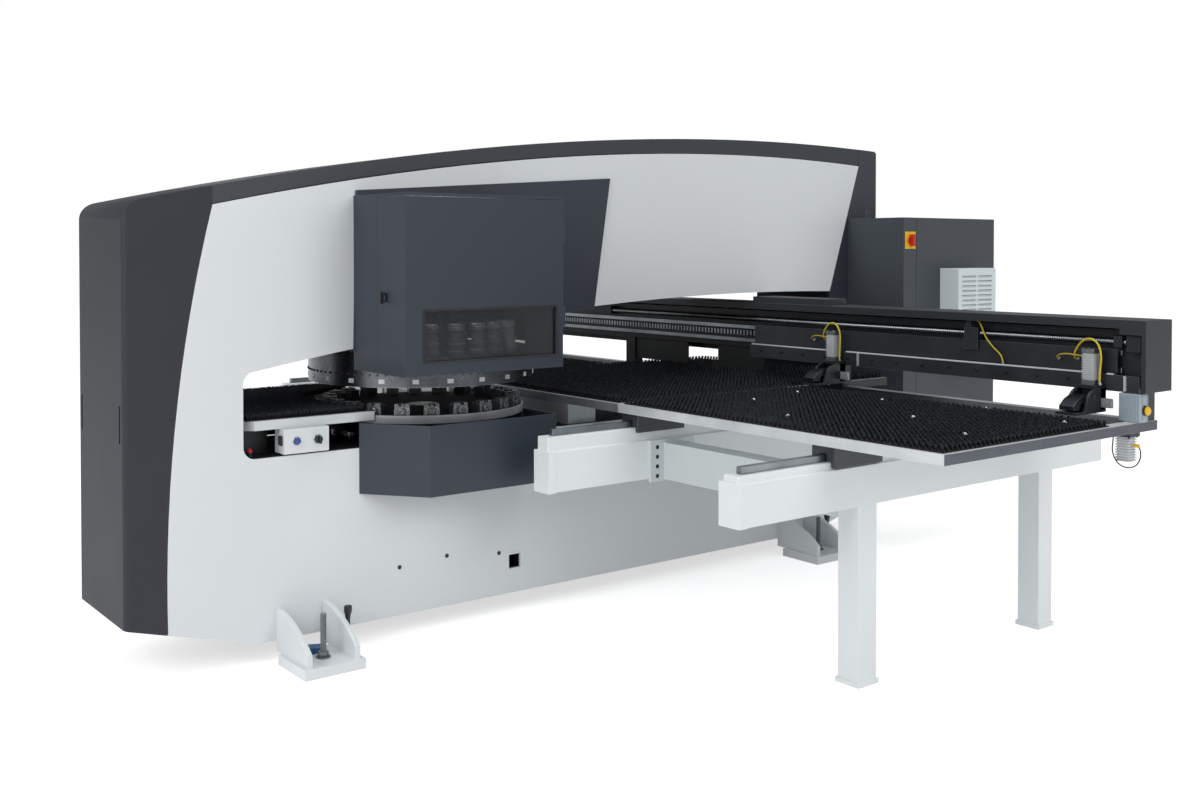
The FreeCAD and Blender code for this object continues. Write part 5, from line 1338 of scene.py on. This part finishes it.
@dataclass
class Feet(SubAssembly):
    """Four foot brackets with their anchor studs, wedges and jack bolts."""

    stud_x: float = 470.0
    stud_ys: Flat = (694.0, 3506.0)
    stud_radius: float = 12.0
    stud_top: float = 212.0
    plate_top: float = 40.0
    thread_start: float = 64.0
    thread: float = 3.5
    wedge_x: Flat = (358.0, 418.0)
    jack_x: float = 411.0
    jack_ys: Flat = (828.0, 3640.0)

    def stud(self, shape: Shape, x: float, y: float) -> None:
        """Adds a threaded stud with its washer and nut.

        Args:
            shape: the shape that it joins.
            x: where it stands along X.
            y: where it stands along Y.
        """
        root, crest = self.stud_radius * 0.86, self.stud_radius
        profile: list[Flat] = [(0.0, crest * 0.95), (60.0, crest * 0.95)]
        height = self.thread_start
        while height < self.stud_top - self.thread:
            profile += [(height, root), (height + self.thread / 2, crest)]
            height += self.thread
        profile += [(self.stud_top - 1.5, root), (self.stud_top, crest * 0.7)]
        shape.turn(profile, (x, y, 0), Axis.Z, 20)
        shape.turn([(0, 27.8), (1, 28.8), (4, 28.8), (5, 27.8)], (x, y, self.plate_top), Axis.Z, 32)
        shape.turn([(0, 20.5), (1.5, 21), (18, 21), (20, 18.5)], (x, y, self.plate_top + 5),
                   Axis.Z, 6)

    def build(self) -> None:
        """Makes the feet."""
        self.dress(WHITE_PAINT, "foot_brackets", rounded=5.0, whole=True)
        studs, wedges, bolts = Shape(), Shape(), Shape()
        for side in (1, -1):
            for y in self.stud_ys:
                self.stud(studs, side * self.stud_x, y)
                outline = [(y - 52, 40.0), (y + 38, 40.0), (y + 38, 58.0), (y - 52, 70.0)]
                wedges.extrude(outline, *mirrored(side, *self.wedge_x), Axis.X)
                wedges.rod((side * 388.0, y - 52, 56.0), 7.0, -9.0, Axis.Y, 16, 1.0)
            for y in self.jack_ys:
                spot = (side * self.jack_x, y, 30.0)
                bolts.turn([(0, 8.8), (82, 8.8), (84, 9.0), (120, 9.0), (138, 11.5), (150, 15.2),
                            (152, 16.2), (170, 16.2), (174, 13.5)], spot, Axis.Z, 20)
        self.piece("threaded_studs", studs, GALVANISED, "machine", replaces=["anchor_studs"])
        self.piece("levelling_wedges", wedges, BLUE_PAINT, "machine", 1.5, ["foot_wedges"])
        self.piece("levelling_bolts", bolts, BLACK_PAINT, "machine", 0.6, ["jack_bolts"])


@dataclass
class TurretHead(SubAssembly):
    """Both tool turrets with their holders, and the drive and ram behind them."""

    pitch_radius: float = 385.0
    stations: int = 22
    rim_radius: float = 500.0
    punch_z: float = 1180.0
    lower_face: float = 925.0

    def ring(self, radius: float, z: float, count: int, shift: float = 0.0
             ) -> tuple[list[Point], list[Point]]:
        """Lists evenly spaced spots about the turret's axis.

        Args:
            radius: how far they lie from the axis.
            z: their height.
            count: how many there are.
            shift: a turn of the whole ring, as a share of one step.

        Returns:
            The spots and, for each, its turn about X, Y and Z.
        """
        spots, turns = [], []
        for number in range(count):
            angle = math.pi / 2 + 2 * math.pi * (number + shift) / count
            spots.append((radius * math.cos(angle), TURRET_Y + radius * math.sin(angle), z))
            turns.append((0.0, 0.0, angle))
        return spots, turns

    def punch(self) -> Shape:
        """Draws a punch holder: flange, body, spring and striker head.

        Returns:
            The shape.
        """
        profile: list[Flat] = [(0, 39.5), (10, 39.5), (12, 34), (34, 34), (36, 38.5), (44, 38.5)]
        for coil in range(5):
            low = 46 + coil * 9.5
            profile += [(low, 26), (low + 2, 31), (low + 6, 31), (low + 8, 26)]
        profile += [(95, 26), (96, 37), (110, 37), (112, 33), (120, 33), (124.5, 28)]
        return Shape().turn(profile, (0, 0, 0), Axis.Z, 20)

    def die(self) -> Shape:
        """Draws a die holder: block, outward boss, four ears and the die ring.

        Returns:
            The shape.
        """
        shape = Shape().block((-29, 24), (-30, 30), (0.2, 40))
        shape.block((4, 27), (-31, -15), (34, 50)).block((4, 27), (15, 31), (34, 50))
        shape.block((22, 28), (-33, -22), (4, 30)).block((22, 28), (22, 33), (4, 30))
        shape.turn([(0, 16), (9, 16), (10.5, 13.5), (10.5, 7), (3, 7)], (24, 0, 19), Axis.X, 16)
        return shape.turn([(0, 20), (9, 20), (10, 18.5), (10, 10), (2, 10)], (-6, 0, 39), Axis.Z,
                          18)

    def build(self) -> None:
        """Makes the turret head."""
        self.dress(RIM_STEEL, "upper_turret", "lower_turret")
        hub = (0, TURRET_Y, self.lower_face)
        face = Shape().turn([(0, 72), (0, 447), (0.8, 447), (0.8, 72)], hub, Axis.Z, 96, ring=True)
        self.piece("lower_turret_face", face, BLACKENED_STEEL, "lower_tool_turret")
        band = Shape().turn([(-30, 444), (-30, 451.5), (-28, 452.5), (2, 452.5), (4, 451),
                             (4, 444)], hub, Axis.Z, 96, ring=True)
        self.piece("lower_turret_band", band, BAND_STEEL, "lower_tool_turret")
        self.dress(DARK_STEEL, "turret_bearings", "ram_cylinder", "turret_motor")
        self.dress(GROUND_STEEL, "motor_pinion", "ram")
        spots, turns = self.ring(self.pitch_radius, self.punch_z, self.stations)
        self.repeat("punch_tools", self.punch(), spots, TOOL_STEEL, "upper_tool_turret", turns,
                    replaces=["punch_holders"])
        spots, turns = self.ring(self.pitch_radius + 24, self.lower_face, self.stations)
        self.repeat("die_tools", self.die(), spots, DIE_STEEL, "lower_tool_turret", turns,
                    rounded=1.4, replaces=["die_holders"])
        plate = Shape().block((-1.0, 1.2), (-13, 13), (-9, 9))
        spots, turns = self.ring(self.rim_radius, 1075.0, self.stations, 0.5)
        self.repeat("rim_plates", plate, spots, ALUMINIUM, "upper_tool_turret", turns)
        screw = Shape().turn([(-1, 5), (3, 5), (4, 4), (4, 2.4), (1.5, 2.4)], (0, 0, 0), Axis.X, 10)
        spots, turns = self.ring(self.rim_radius, 1101.0, self.stations * 4, 0.5)
        self.repeat("rim_screws", screw, spots, DARK_STEEL, "upper_tool_turret", turns)


@dataclass
class Guards(SubAssembly):
    """The guards about the turret, with the window and the latch."""

    face_x: float = 704.0
    window: tuple[Flat, Flat] = ((1010.0, 1640.0), (1182.0, 1380.0))
    latch: Point = (549.0, 911.0, 1430.0)

    def build(self) -> None:
        """Makes the guards."""
        self.dress(CHARCOAL_BLUE, "turret_guard_boxes", rounded=2.5)
        self.dress(CHARCOAL_BLUE, "guard_door", rounded=3.0)
        self.dress(CHARCOAL_BLUE, "lower_turret_guards", rounded=1.6)
        self.dress(WINDOW, "guard_window")
        (y0, y1), (z0, z1) = self.window
        gasket = Shape().border((y0 - 7, y1 + 7), (z0 - 7, z1 + 7), 9.0, self.face_x - 1.0,
                                self.face_x + 2.5, Axis.X)
        self.piece("window_gasket", gasket, BLACK_PLASTIC, "turret_guard_door", 1.0)
        x, y, z = self.latch
        handle = Shape().turn([(0, 15), (2, 18.5), (9, 19), (11.6, 19)], self.latch, Axis.Y, 28)
        handle.extrude(waisted((x, z), (6, 22), (3, 24), 5), y - 10, y + 1, Axis.Y)
        handle.rod(self.latch, 8.0, 24.0, Axis.Y, 16)
        self.piece("latch_handle", handle, BLACK_PLASTIC, "guard_latch", 1.2, ["door_latch"])


@dataclass
class BrushTables(SubAssembly):
    """The tables with their brushes and ball rollers."""

    pitch: float = 25.0
    fine_pitch: float = 12.5
    turret_clear: float = 480.0
    side: tuple[Flat, Flat] = ((714.0, 2385.0), (1989.0, 3005.0))
    centre: tuple[Flat, Flat] = ((-683.0, 683.0), (1989.0, 3766.0))
    near: tuple[Flat, Flat] = ((-250.0, 250.0), (480.0, 1100.0))
    balls: tuple[Flat, ...] = ((1411, 2871), (1843, 2530), (2239, 2309), (1857, 2984),
                               (2285, 2864), (1516, 2172), (1060, 2440), (980, 2800))
    edge_z: Flat = (910.5, 947.5)
    side_strip: tuple[Flat, Flat] = ((2399.0, 2401.5), (1975.0, 3327.0))
    rear_sheet: tuple[Flat, Flat] = ((714.0, 2345.0), (3006.0, 3262.0))
    post_xs: Flat = (760.0, 2309.0)
    wing: tuple[Flat, Flat] = ((-690.0, -262.0), (470.0, 1290.0))
    wing_bracket_ys: Flat = (520.0, 800.0)

    def tuft(self) -> Shape:
        """Draws one tuft: a tied core and three splayed tips.

        Returns:
            The shape.
        """
        shape = Shape().turn([(0.0, 4.4), (21.0, 5.6)], (0, 0, 1.0), Axis.Z, 5)
        for angle, reach, height in ((0.4, 4.6, 26.5), (2.6, 4.2, 25.0), (4.7, 5.2, 24.0)):
            x, y = math.cos(angle), math.sin(angle)
            shape.add([(x * 1.5 - y * 2.2, y * 1.5 + x * 2.2, 16),
                       (x * 1.5 + y * 2.2, y * 1.5 - x * 2.2, 16), (x * 5.4, y * 5.4, 16),
                       (x * reach - y * 1.1, y * reach + x * 1.1, height),
                       (x * reach + y * 1.1, y * reach - x * 1.1, height),
                       (x * reach * 1.5, y * reach * 1.5, height - 1.5)],
                      [(0, 2, 1), (3, 4, 5), (0, 1, 4, 3), (1, 2, 5, 4), (2, 0, 3, 5)])
        return shape

    def grid(self, zone: tuple[Flat, Flat], pitch: float, clear: Sequence[Flat] = ()
             ) -> list[Point]:
        """Lists the tufts' places in a zone, clear of the turret and the ball rollers.

        Args:
            zone: its ranges along X and Y.
            pitch: about how far the places lie apart.
            clear: the middles of the ball rollers.

        Returns:
            The places, row by row.
        """
        (x0, x1), (y0, y1) = zone
        columns, rows = int((x1 - x0) / pitch), int((y1 - y0) / pitch)
        spots = []
        for row in range(rows):
            y = y0 + (row + 0.5) * (y1 - y0) / rows
            for column in range(columns):
                x = x0 + (column + 0.5) * (x1 - x0) / columns
                if math.hypot(x, y - TURRET_Y) < self.turret_clear:
                    continue
                if any(math.hypot(x - bx, y - by) < 19 for bx, by in clear):
                    continue
                spots.append((x, y, TABLE_TOP))
        return spots

    def tufts(self, name: str, spots: Sequence[Point], body: str, seed: int,
              replaces: Sequence[str] = (), spread: float = 0.06, lean: float = 0.09) -> None:
        """Plants tufts, each with its own size, lean and spin.

        Args:
            name: the piece's name.
            spots: where they stand.
            body: the body that they ride on.
            seed: the seed of their differences.
            replaces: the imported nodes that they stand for.
            spread: how far their sizes differ, as a share.
            lean: how far they lean at most, in radians.
        """
        self.repeat(name, self.tuft(), spots, BRISTLES, body, replaces=replaces,
                    Size_Spread=spread, Lean=lean, Spin=3.1, Seed=seed)

    def board(self, zone: tuple[Flat, Flat]) -> Shape:
        """Draws the black board of a zone, with a strip under each row of tufts.

        Args:
            zone: its ranges along X and Y.

        Returns:
            The shape.
        """
        (x0, x1), (y0, y1) = zone
        shape = Shape().block((x0, x1), (y0, y1), (TABLE_TOP - 1, TABLE_TOP + 2.2))
        rows = int((y1 - y0) / self.pitch)
        for row in range(rows):
            y = y0 + (row + 0.5) * (y1 - y0) / rows
            shape.block((x0 + 1, x1 - 1), (y - self.pitch * 0.3, y + self.pitch * 0.3),
                        (TABLE_TOP + 1, TABLE_TOP + 4.5))
        return shape

    def near_board(self) -> Shape:
        """Draws the near table's board, cut round about the lower turret.

        Returns:
            The shape.
        """
        (x0, x1), (y0, _) = self.near
        outline = [(x0, y0), (x1, y0)]
        reach = math.asin(x1 / self.turret_clear)
        for step in range(17):
            angle = reach - 2 * reach * step / 16
            outline.append((self.turret_clear * math.sin(angle),
                            TURRET_Y - self.turret_clear * math.cos(angle)))
        return Shape().extrude(outline, TABLE_TOP - 1, TABLE_TOP + 3, Axis.Z)

    def rollers(self, clear: Sequence[Flat]) -> tuple[Shape, Shape]:
        """Draws ball rollers.

        Args:
            clear: their middles.

        Returns:
            The balls, and the cups that hold them.
        """
        balls, cups = Shape(), Shape()
        arc = [(-10.5 * math.cos(math.pi * i / 8), max(10.5 * math.sin(math.pi * i / 8), 0.8))
               for i in range(9)]
        for x, y in clear:
            balls.turn(arc, (x, y, TABLE_TOP + 15), Axis.Z, 16)
            cups.turn([(0, 14), (10, 14), (17, 13), (18, 11.2), (12, 10.8)],
                      (x, y, TABLE_TOP + 1), Axis.Z, 20)
        return balls, cups

    def build(self) -> None:
        """Makes the tables."""
        self.dress(TABLE_EDGE, "fixed_tables", "right_table", "left_table", rounded=1.5)
        boards, balls, cups = Shape(), Shape(), Shape()
        for name, side in (("right", 1), ("left", -1)):
            zone = (mirrored(side, *self.side[0]), self.side[1])
            clear = [(side * x, y) for x, y in self.balls]
            boards.join(self.board(zone))
            self.tufts(name + "_table_tufts", self.grid(zone, self.pitch, clear), "y_carriage",
                       11 + side, ["table_brushes"])
            ball, cup = self.rollers(clear)
            balls.join(ball)
            cups.join(cup)
        self.piece("side_brush_boards", boards, BRUSH_BASE, "y_carriage")
        self.piece("ball_rollers", balls, POLISHED_STEEL, "y_carriage")
        self.piece("ball_cups", cups, DARK_STEEL, "y_carriage")
        self.tufts("centre_table_tufts", self.grid(self.centre, self.pitch), "machine", 21,
                   ["fixed_brushes"])
        self.tufts("near_table_tufts", self.grid(self.near, self.fine_pitch), "machine", 31,
                   ["fixed_brushes"], 0.05, 0.12)
        fixed = self.board(self.centre).join(self.near_board())
        self.piece("fixed_brush_boards", fixed, BRUSH_BASE, "machine")
        self.edge_strips()
        self.wing_table()

    def edge_strips(self) -> None:
        """Covers the moving tables' outer edges and their posts with darker strips."""
        strips, sleeves, rears = Shape(), Shape(), Shape()
        hidden = Shape().block((83, 145), (505, 607), (803.5, 909.5))
        (strip_x, strip_y), (rear_x, rear_y) = self.side_strip, self.rear_sheet
        for side in (1, -1):
            strips.block(mirrored(side, *strip_x), strip_y, self.edge_z)
            rears.block(mirrored(side, *rear_x), rear_y, (TABLE_TOP - 1, TABLE_TOP + 1.5))
            for low in self.post_xs:
                sleeves.block(mirrored(side, low - 0.8, low + 80.8), (3269.2, 3327.6),
                              (TABLE_TOP + 0.2, 1099))
            hidden.block(mirrored(side, 697.0, 697.8), (3334, 3779), (910.5, TABLE_TOP + 0.5))
        # The front strip's darker aluminium is painted shade.
        front = Shape().block((-696, 696), (1974.2, 1975), self.edge_z)
        self.piece("fixed_table_front", front, SHADED_FRONT_STRIP, "machine", 0.3)
        self.piece("fixed_table_covers", hidden, BLACK_PAINT, "machine", 0.3)
        self.piece("table_side_strips", strips, SIDE_STRIP, "y_carriage", 0.8)
        self.piece("table_rear_sheets", rears, BLACK_PAINT, "y_carriage", 0.3)
        self.piece("post_sleeves", sleeves, BLACK_PAINT, "y_carriage", 0.3)

    def wing_table(self) -> None:
        """Makes the brush table on the far side of the slot, on two brackets."""
        (x0, x1), (y0, y1) = self.wing
        reach = self.turret_clear + 34
        first = -math.acos((TURRET_Y - y1) / reach)
        last = math.asin(x1 / reach)
        angles = [first + (last - first) * step / 12 for step in range(13)]
        outline = [(x1, y0), (x0, y0), (x0, y1)]
        outline += [(reach * math.sin(angle), TURRET_Y - reach * math.cos(angle))
                    for angle in angles]
        table = Shape().extrude(outline, 910, TABLE_TOP, Axis.Z)
        for y in self.wing_bracket_ys:
            table.block((-680, -250), (y, y + 22), (882, 911))
        self.piece("wing_table", table, TABLE_EDGE, "machine", 1.5)
        inner = [(x + (6 if x < -600 else -3 if x > -270 else -4), y + (6 if y < 480 else -5))
                 for x, y in outline]
        board = Shape().extrude(inner, TABLE_TOP - 1, TABLE_TOP + 3, Axis.Z)
        self.piece("wing_board", board, BRUSH_BASE, "machine")
        spots = [spot for spot in self.grid(((x0 + 8, x1 - 4), (y0 + 8, y1 - 8)), 18.0)
                 if math.hypot(spot[0], spot[1] - TURRET_Y) > reach + 12]
        self.tufts("wing_tufts", spots, "machine", 41, lean=0.1)


@dataclass
class Arms(SubAssembly):
    """The support arms on their legs, with rails, runners and crossbeams."""

    edge: float = 4.0
    bolt_x: float = 798.0
    bolt_ys: Flat = (2113.0, 2289.0)

    def build(self) -> None:
        """Dresses the arms."""
        self.dress(ARM_PAINT, "inner_arms", "right_outer_arm", "left_outer_arm",
                   rounded=self.edge)
        self.dress(CROSSBEAM_PAINT, "crossbeams", rounded=1.5, whole=True)
        holes = Shape()
        for side in (1, -1):
            rim = [(-2.0 * side, 6.9), (0.6 * side, 6.9), (0.6 * side, 9.5), (-0.2 * side, 9.5)]
            for y in self.bolt_ys:
                for row in range(4):
                    holes.turn(rim, (side * self.bolt_x, y, 632.0 + 42 * row), Axis.X, 18)
        self.piece("bolt_recesses", holes, BLACK_PLASTIC, "machine")
        self.dress(ARM_PAINT, "arm_end_covers", rounded=2.0)
        self.dress(RAIL_STEEL, "table_rails", rounded=1.0)
        self.dress(RUNNER_PAINT, "table_runners", rounded=5.0)
        thread = Shape().helix((640, 2748, 838), 14.0, 1054.0, 10.0, 2.2, Axis.Y)
        self.piece("y_feed_thread", thread, GROUND_STEEL, "y_feed_screw", replaces=["y_screw"])


@dataclass
class CarriageBeam(SubAssembly):
    """The beam that carries the workholders: hood, rails, rack and screw."""

    face_y: float = 3262.0
    drop_xs: tuple[Flat, ...] = ((-847, -303), (-58, 284))
    rack_z: float = 1166.0
    rack_pitch: float = 25.0
    rack_count: int = 180
    bar_front: float = 3190.0
    bar_top: float = 1125.0
    bar_start: float = 284.0
    strip_xs: tuple[Flat, ...] = ((290.0, 838), (926, 2176), (2264, 2292))
    screw_pitch: float = 145.0
    screw_clear: float = 50.0

    def build(self) -> None:
        """Makes the beam."""
        self.dress(BEAM_STEEL, "beam_girder", rounded=2.0)
        self.dress(BEAM_PAINT, "beam_hood", "beam_end_caps", rounded=2.0)
        self.dress(RAIL_STEEL, "x_guides", rounded=1.5)
        self.dress(BLACK_PLASTIC, "x_motor", rounded=4.0)
        self.dress(BAR_STEEL, "carriage_bar", rounded=1.0)
        drops = Shape()
        for drop_x in self.drop_xs:
            drops.block(drop_x, (3280, 3288), (979, 1101))
        self.piece("beam_drop_plates", drops, BEAM_STEEL, "y_carriage", 0.8)
        thread = Shape().helix((-960, 3235, 1255), 14.0, 3290.0, 10.0, 2.2, Axis.X)
        self.piece("x_feed_thread", thread, GROUND_STEEL, "x_feed_screw", replaces=["x_screw"])
        tooth = Shape().extrude([(-8, 0), (-4.5, -7), (4.5, -7), (8, 0), (8, 3), (-8, 3)],
                                -12, 12, Axis.Z)
        spots = [(-2250.0 + self.rack_pitch * number, self.face_y - 6, self.rack_z + 12)
                 for number in range(self.rack_count)]
        self.repeat("rack_teeth", tooth, spots, RAIL_STEEL, "y_carriage")
        bed = Shape().block((-2262, 2237), (self.face_y - 5, self.face_y),
                            (self.rack_z, self.rack_z + 24))
        self.piece("rack_bed", bed, DARK_STEEL, "y_carriage", 0.8)
        strip = Shape()
        for strip_x in self.strip_xs:
            strip.block(strip_x, (self.bar_front + 1, self.bar_front + 14),
                        (self.bar_top, self.bar_top + 6))
        self.piece("bar_strip", strip, WHITE_PAINT, "x_carriage", 1.2)
        screw = Shape().turn([(-2, 7.5), (6, 7.5), (7, 6.5), (7, 4.0), (2, 4.0)], (0, 0, 0),
                             Axis.Y, 12)
        screw.points = [(x, -y, z) for x, y, z in screw.points]
        places = [self.bar_start + 75 + self.screw_pitch * number for number in range(14)]
        spots = [(x, self.bar_front, 1098.0) for x in places
                 if all(abs(x - middle) > self.screw_clear for middle in CLAMP_MIDDLES)]
        self.repeat("bar_screws", screw, spots, DARK_STEEL, "x_carriage")


@dataclass
class Workholders(SubAssembly):
    """The two clamps that grip the sheet."""

    half: float = 44.0
    back: float = 3190.0
    cylinder_y: float = 3154.0

    def bodies(self) -> Shape:
        """Draws the clamp bodies with their sloping side plates.

        Returns:
            The shape.
        """
        shape = Shape()
        cheek = [(3040, 987), (self.back, 987), (self.back, 1073), (3112, 1073), (3084, 1061),
                 (3060, 1040)]
        for x in CLAMP_MIDDLES:
            low, high = x - self.half, x + self.half
            shape.block((low, high), (2975, self.back), (978, 988))
            shape.block((low, high), (3150, self.back), (987, 1074))
            shape.block((low, high), (3116, self.back), (1073, 1085))
            for start in (low, high - 11):
                shape.extrude(cheek, start, start + 11, Axis.X)
            shape.rod((low - 3, 3110, 1035), 11.0, 2 * self.half + 6, Axis.X, 20, 1.0)
        return shape

    def jaws(self) -> Shape:
        """Draws the levers with their toothed tips.

        Returns:
            The shape.
        """
        shape = Shape()
        lever = [(2979, 1012), (2979, 996), (3025, 996), (3030, 1019), (3131, 1019), (3131, 1050),
                 (3050, 1050), (3012, 1036)]
        for x in CLAMP_MIDDLES:
            shape.extrude(lever, x - 31, x + 31, Axis.X)
            for step in range(6):
                y = 2981 + step * 7.5
                shape.extrude([(y, 997), (y + 3, 994.3), (y + 6, 997)], x - 30, x + 30, Axis.X)
        return shape

    def build(self) -> None:
        """Makes the workholders."""
        self.piece("clamp_bodies", self.bodies(), CLAMP_BLACK, "x_carriage", 1.5,
                   ["workholder_bodies"])
        self.piece("clamp_levers", self.jaws(), CLAMP_STEEL, "clamp_jaws", 1.0,
                   ["workholder_jaws"])
        core, caps, racks, bars = Shape(), Shape(), Shape(), Shape()
        fins = []
        for x in CLAMP_MIDDLES:
            middle = (x, self.cylinder_y)
            core.square(middle, 22, (1100, 1210))
            caps.square(middle, 26, (1085, 1103)).square(middle, 26, (1209, 1225))
            for spot in corners(middle, 20):
                caps.rod((*spot, 1222), 4.0, 6.0, Axis.Z, 10, 0.8)
            fins += [(*middle, 1107.0 + 8.4 * number) for number in range(12)]
            racks.block((x + 44, x + 92), (3152, 3160), (998, 1030))
            for step in range(8):
                tooth = x + 46 + step * 5.8
                racks.block((tooth, tooth + 3), (3150.5, 3161.5), (1002, 1035))
            bars.block((x + 120, x + 129), (3181, 3190.5), (1065, 1125))
        self.repeat("cylinder_fins", Shape().square((0, 0), 26, (0, 4)), fins, ALUMINIUM,
                    "x_carriage", rounded=0.8, replaces=["clamp_cylinders"])
        self.piece("cylinder_cores", core, ALUMINIUM, "x_carriage")
        self.piece("cylinder_caps", caps, ALUMINIUM_DARK, "x_carriage", 1.2)
        self.piece("clamp_racks", racks, TOOL_STEEL, "x_carriage", 0.4)
        self.piece("sensor_bars", bars, ALUMINIUM, "x_carriage", 0.8)


@dataclass
class EndUnits(SubAssembly):
    """The small units at the beam's end: the ridged box, the stop button and the locator."""

    box_x: Flat = (2321.0, 2411.0)
    box_y: Flat = (3181.0, 3237.0)
    box_z: Flat = (948.5, 1059.0)
    rib_start: float = 2327.0
    rib_pitch: float = 7.9
    rib_z: float = 955.0
    button: Point = (2414.0, 3209.0, 995.2)
    locator: Flat = (2360.0, 3168.0)

    def ridged_box(self) -> None:
        """Makes the box with ribs on its long sides and its outer end."""
        case = Shape().block(self.box_x, self.box_y, self.box_z)
        self.piece("end_case", case, END_BOX_PLASTIC, "y_carriage", 3.0, ["end_box"])
        along = [self.rib_start + self.rib_pitch * number for number in range(11)]
        spots = [(x, self.box_y[0] - 1.0, self.rib_z) for x in along]
        spots += [(self.box_x[1] + 1.0, y, self.rib_z)
                  for y in (3186.0, 3186.0 + self.rib_pitch, 3231.0)]
        spots += [(x, self.box_y[1] + 1.0, self.rib_z) for x in along]
        self.repeat("end_case_ribs", Shape().square((0, 0), 1.8, (0, 98)), spots,
                    END_BOX_PLASTIC, "y_carriage")

    def build(self) -> None:
        """Makes the end units."""
        self.ridged_box()
        collar = Shape().turn([(-3, 20), (2, 20), (4, 17.5), (4, 9)], self.button, Axis.X, 28)
        self.piece("stop_collar", collar, BLACK_PLASTIC, "y_carriage", 0.5)
        cap = Shape().turn([(-12, 7.6), (5, 7.6), (6.5, 15), (8, 17), (14, 17), (18, 13.5),
                            (20, 7)], self.button, Axis.X, 28)
        self.piece("stop_mushroom", cap, YELLOW_PLASTIC, "emergency_button",
                   replaces=["stop_button"])
        mount = Shape().square(self.locator, 37, (895, 910))
        for spot in corners(self.locator, 29):
            mount.hexagon((*spot, 895), 11, -5, Axis.Z)
        self.piece("locator_mount", mount, BLACK_PAINT, "y_carriage", 1.0, ["locator_cylinder"])
        core = Shape().square(self.locator, 24, (802, 895))
        self.piece("locator_core", core, ALUMINIUM, "y_carriage")
        fins = [(*self.locator, 799.0 + 10.2 * number) for number in range(10)]
        self.repeat("locator_fins", Shape().square((0, 0), 29, (0, 5)), fins, ALUMINIUM,
                    "y_carriage", rounded=0.8)
        self.dress(POLISHED_STEEL, "locator_pin", rounded=0.8)


@dataclass
class Controls(SubAssembly):
    """The small control box below the near table."""

    face: float = 300.0
    middle: float = 861.0
    button_y: float = 664.0
    knob_y: float = 754.0

    def build(self) -> None:
        """Makes the control box."""
        self.dress(WHITE_PAINT, "control_box", rounded=7.0)
        x, y, z = self.face, self.knob_y, self.middle
        button = (x, self.button_y, z)
        ring = Shape()
        for spot, size in ((button, 17.5), ((x, y, z), 19.0)):
            ring.turn([(-1, size), (2.5, size), (4, size - 1.5), (4, size - 3), (0.5, size - 3.5)],
                      spot, Axis.X, 28)
        self.piece("control_bezels", ring, NICKEL, "machine", 0.4)
        cap = Shape().turn([(-12, 6.8), (4.5, 6.8), (5.5, 13), (11, 13), (13.2, 11), (14, 7)],
                           button, Axis.X, 26)
        self.piece("blue_button", cap, BLUE_PLASTIC, "start_button", replaces=["push_button"])
        knob = Shape().turn([(-16, 6.8), (1, 6.8), (1.2, 15.5), (16, 15), (18, 13)], (x, y, z),
                            Axis.X, 26)
        knob.extrude([(y - 5, z - 15), (y + 5, z - 15), (y + 4, z + 15), (y - 4, z + 15)], x + 15,
                     x + 29.5, Axis.X)
        self.piece("black_selector", knob, BLACK_PLASTIC, "mode_selector", 1.0,
                   ["selector_knob"])
        catch = Shape().block((262, 286), (604, 613), (846, 884))
        catch.block((266, 282), (600, 605), (850, 880))
        self.piece("box_catch", catch, BLACK_PLASTIC, "machine", 1.2)


@dataclass
class Cabinet(SubAssembly):
    """The control cabinet with its cooling unit and main switch."""

    door_x: float = 668.0
    near_y: float = 3950.0
    switch: Flat = (4005.0, 1668.0)
    cooler: tuple[Flat, Flat] = ((4262.0, 4600.0), (950.0, 1515.0))
    cooler_x: float = 790.0
    slat_pitch: float = 26.0
    slat_slope: float = -38.0

    def build(self) -> None:
        """Makes the cabinet."""
        self.dress(CABINET_PAINT, "cabinet_body", "cabinet_door", rounded=2.5)
        self.dress(COOLER_PAINT, "cooling_unit", rounded=3.5)
        x, (y, z) = self.door_x, self.switch
        plate = Shape().block((x - 1, x + 0.6), (y - 44, y + 44), (z - 46, z + 46))
        self.piece("switch_plate", plate, YELLOW_PLASTIC, "machine", 0.3)
        handle = Shape().turn([(0.8, 24), (6, 24), (8, 21.5)], (x, y, z), Axis.X, 32)
        handle.extrude(waisted(self.switch, (11, 29), (7, 32), 8), x + 7, x + 29, Axis.X)
        self.piece("switch_handle", handle, RED_PLASTIC, "mains_switch", 1.6, ["main_switch"])
        side = Shape().block((302, 628), (self.near_y - 2.2, self.near_y + 1), (474, 1766))
        self.piece("cabinet_side_sheet", side, CABINET_PAINT, "machine", 1.0)
        (y0, y1), (_, z1) = self.cooler
        slat = Shape().block((-11, 0), (0, 129), (-0.9, 0.9))
        spots = [(self.cooler_x - 2.0, start, z1 - 45.5 - self.slat_pitch * number)
                 for start in (y0 + 33, y0 + (y1 - y0) / 2 + 7) for number in range(12)]
        turns = [(0.0, math.radians(self.slat_slope), 0.0)] * len(spots)
        self.repeat("cooler_slats", slat, spots, COOLER_PAINT, "electrical_door", turns)
        pull = Shape().block((x + 1, x + 15), (4080, 4102), (1076, 1224))
        pull.block((x + 14, x + 22), (4084, 4098), (1090, 1210))
        self.piece("door_handle", pull, BLACK_PLASTIC, "electrical_door", 2.5)


def main() -> None:
    """Builds the dressed machine and its studio."""
    logging.basicConfig(level=logging.INFO, format="%(message)s")
    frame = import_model()
    Studio().build()
    repeater = Repeater()
    for assembly in (Hoses, FrameShell, Feet, TurretHead, Guards, BrushTables, Arms, CarriageBeam,
                     Workholders, EndUnits, Controls, Cabinet):
        assembly(frame, repeater).build()
        log.info("built %s", assembly.__name__)


if __name__ == "__main__":
    main()
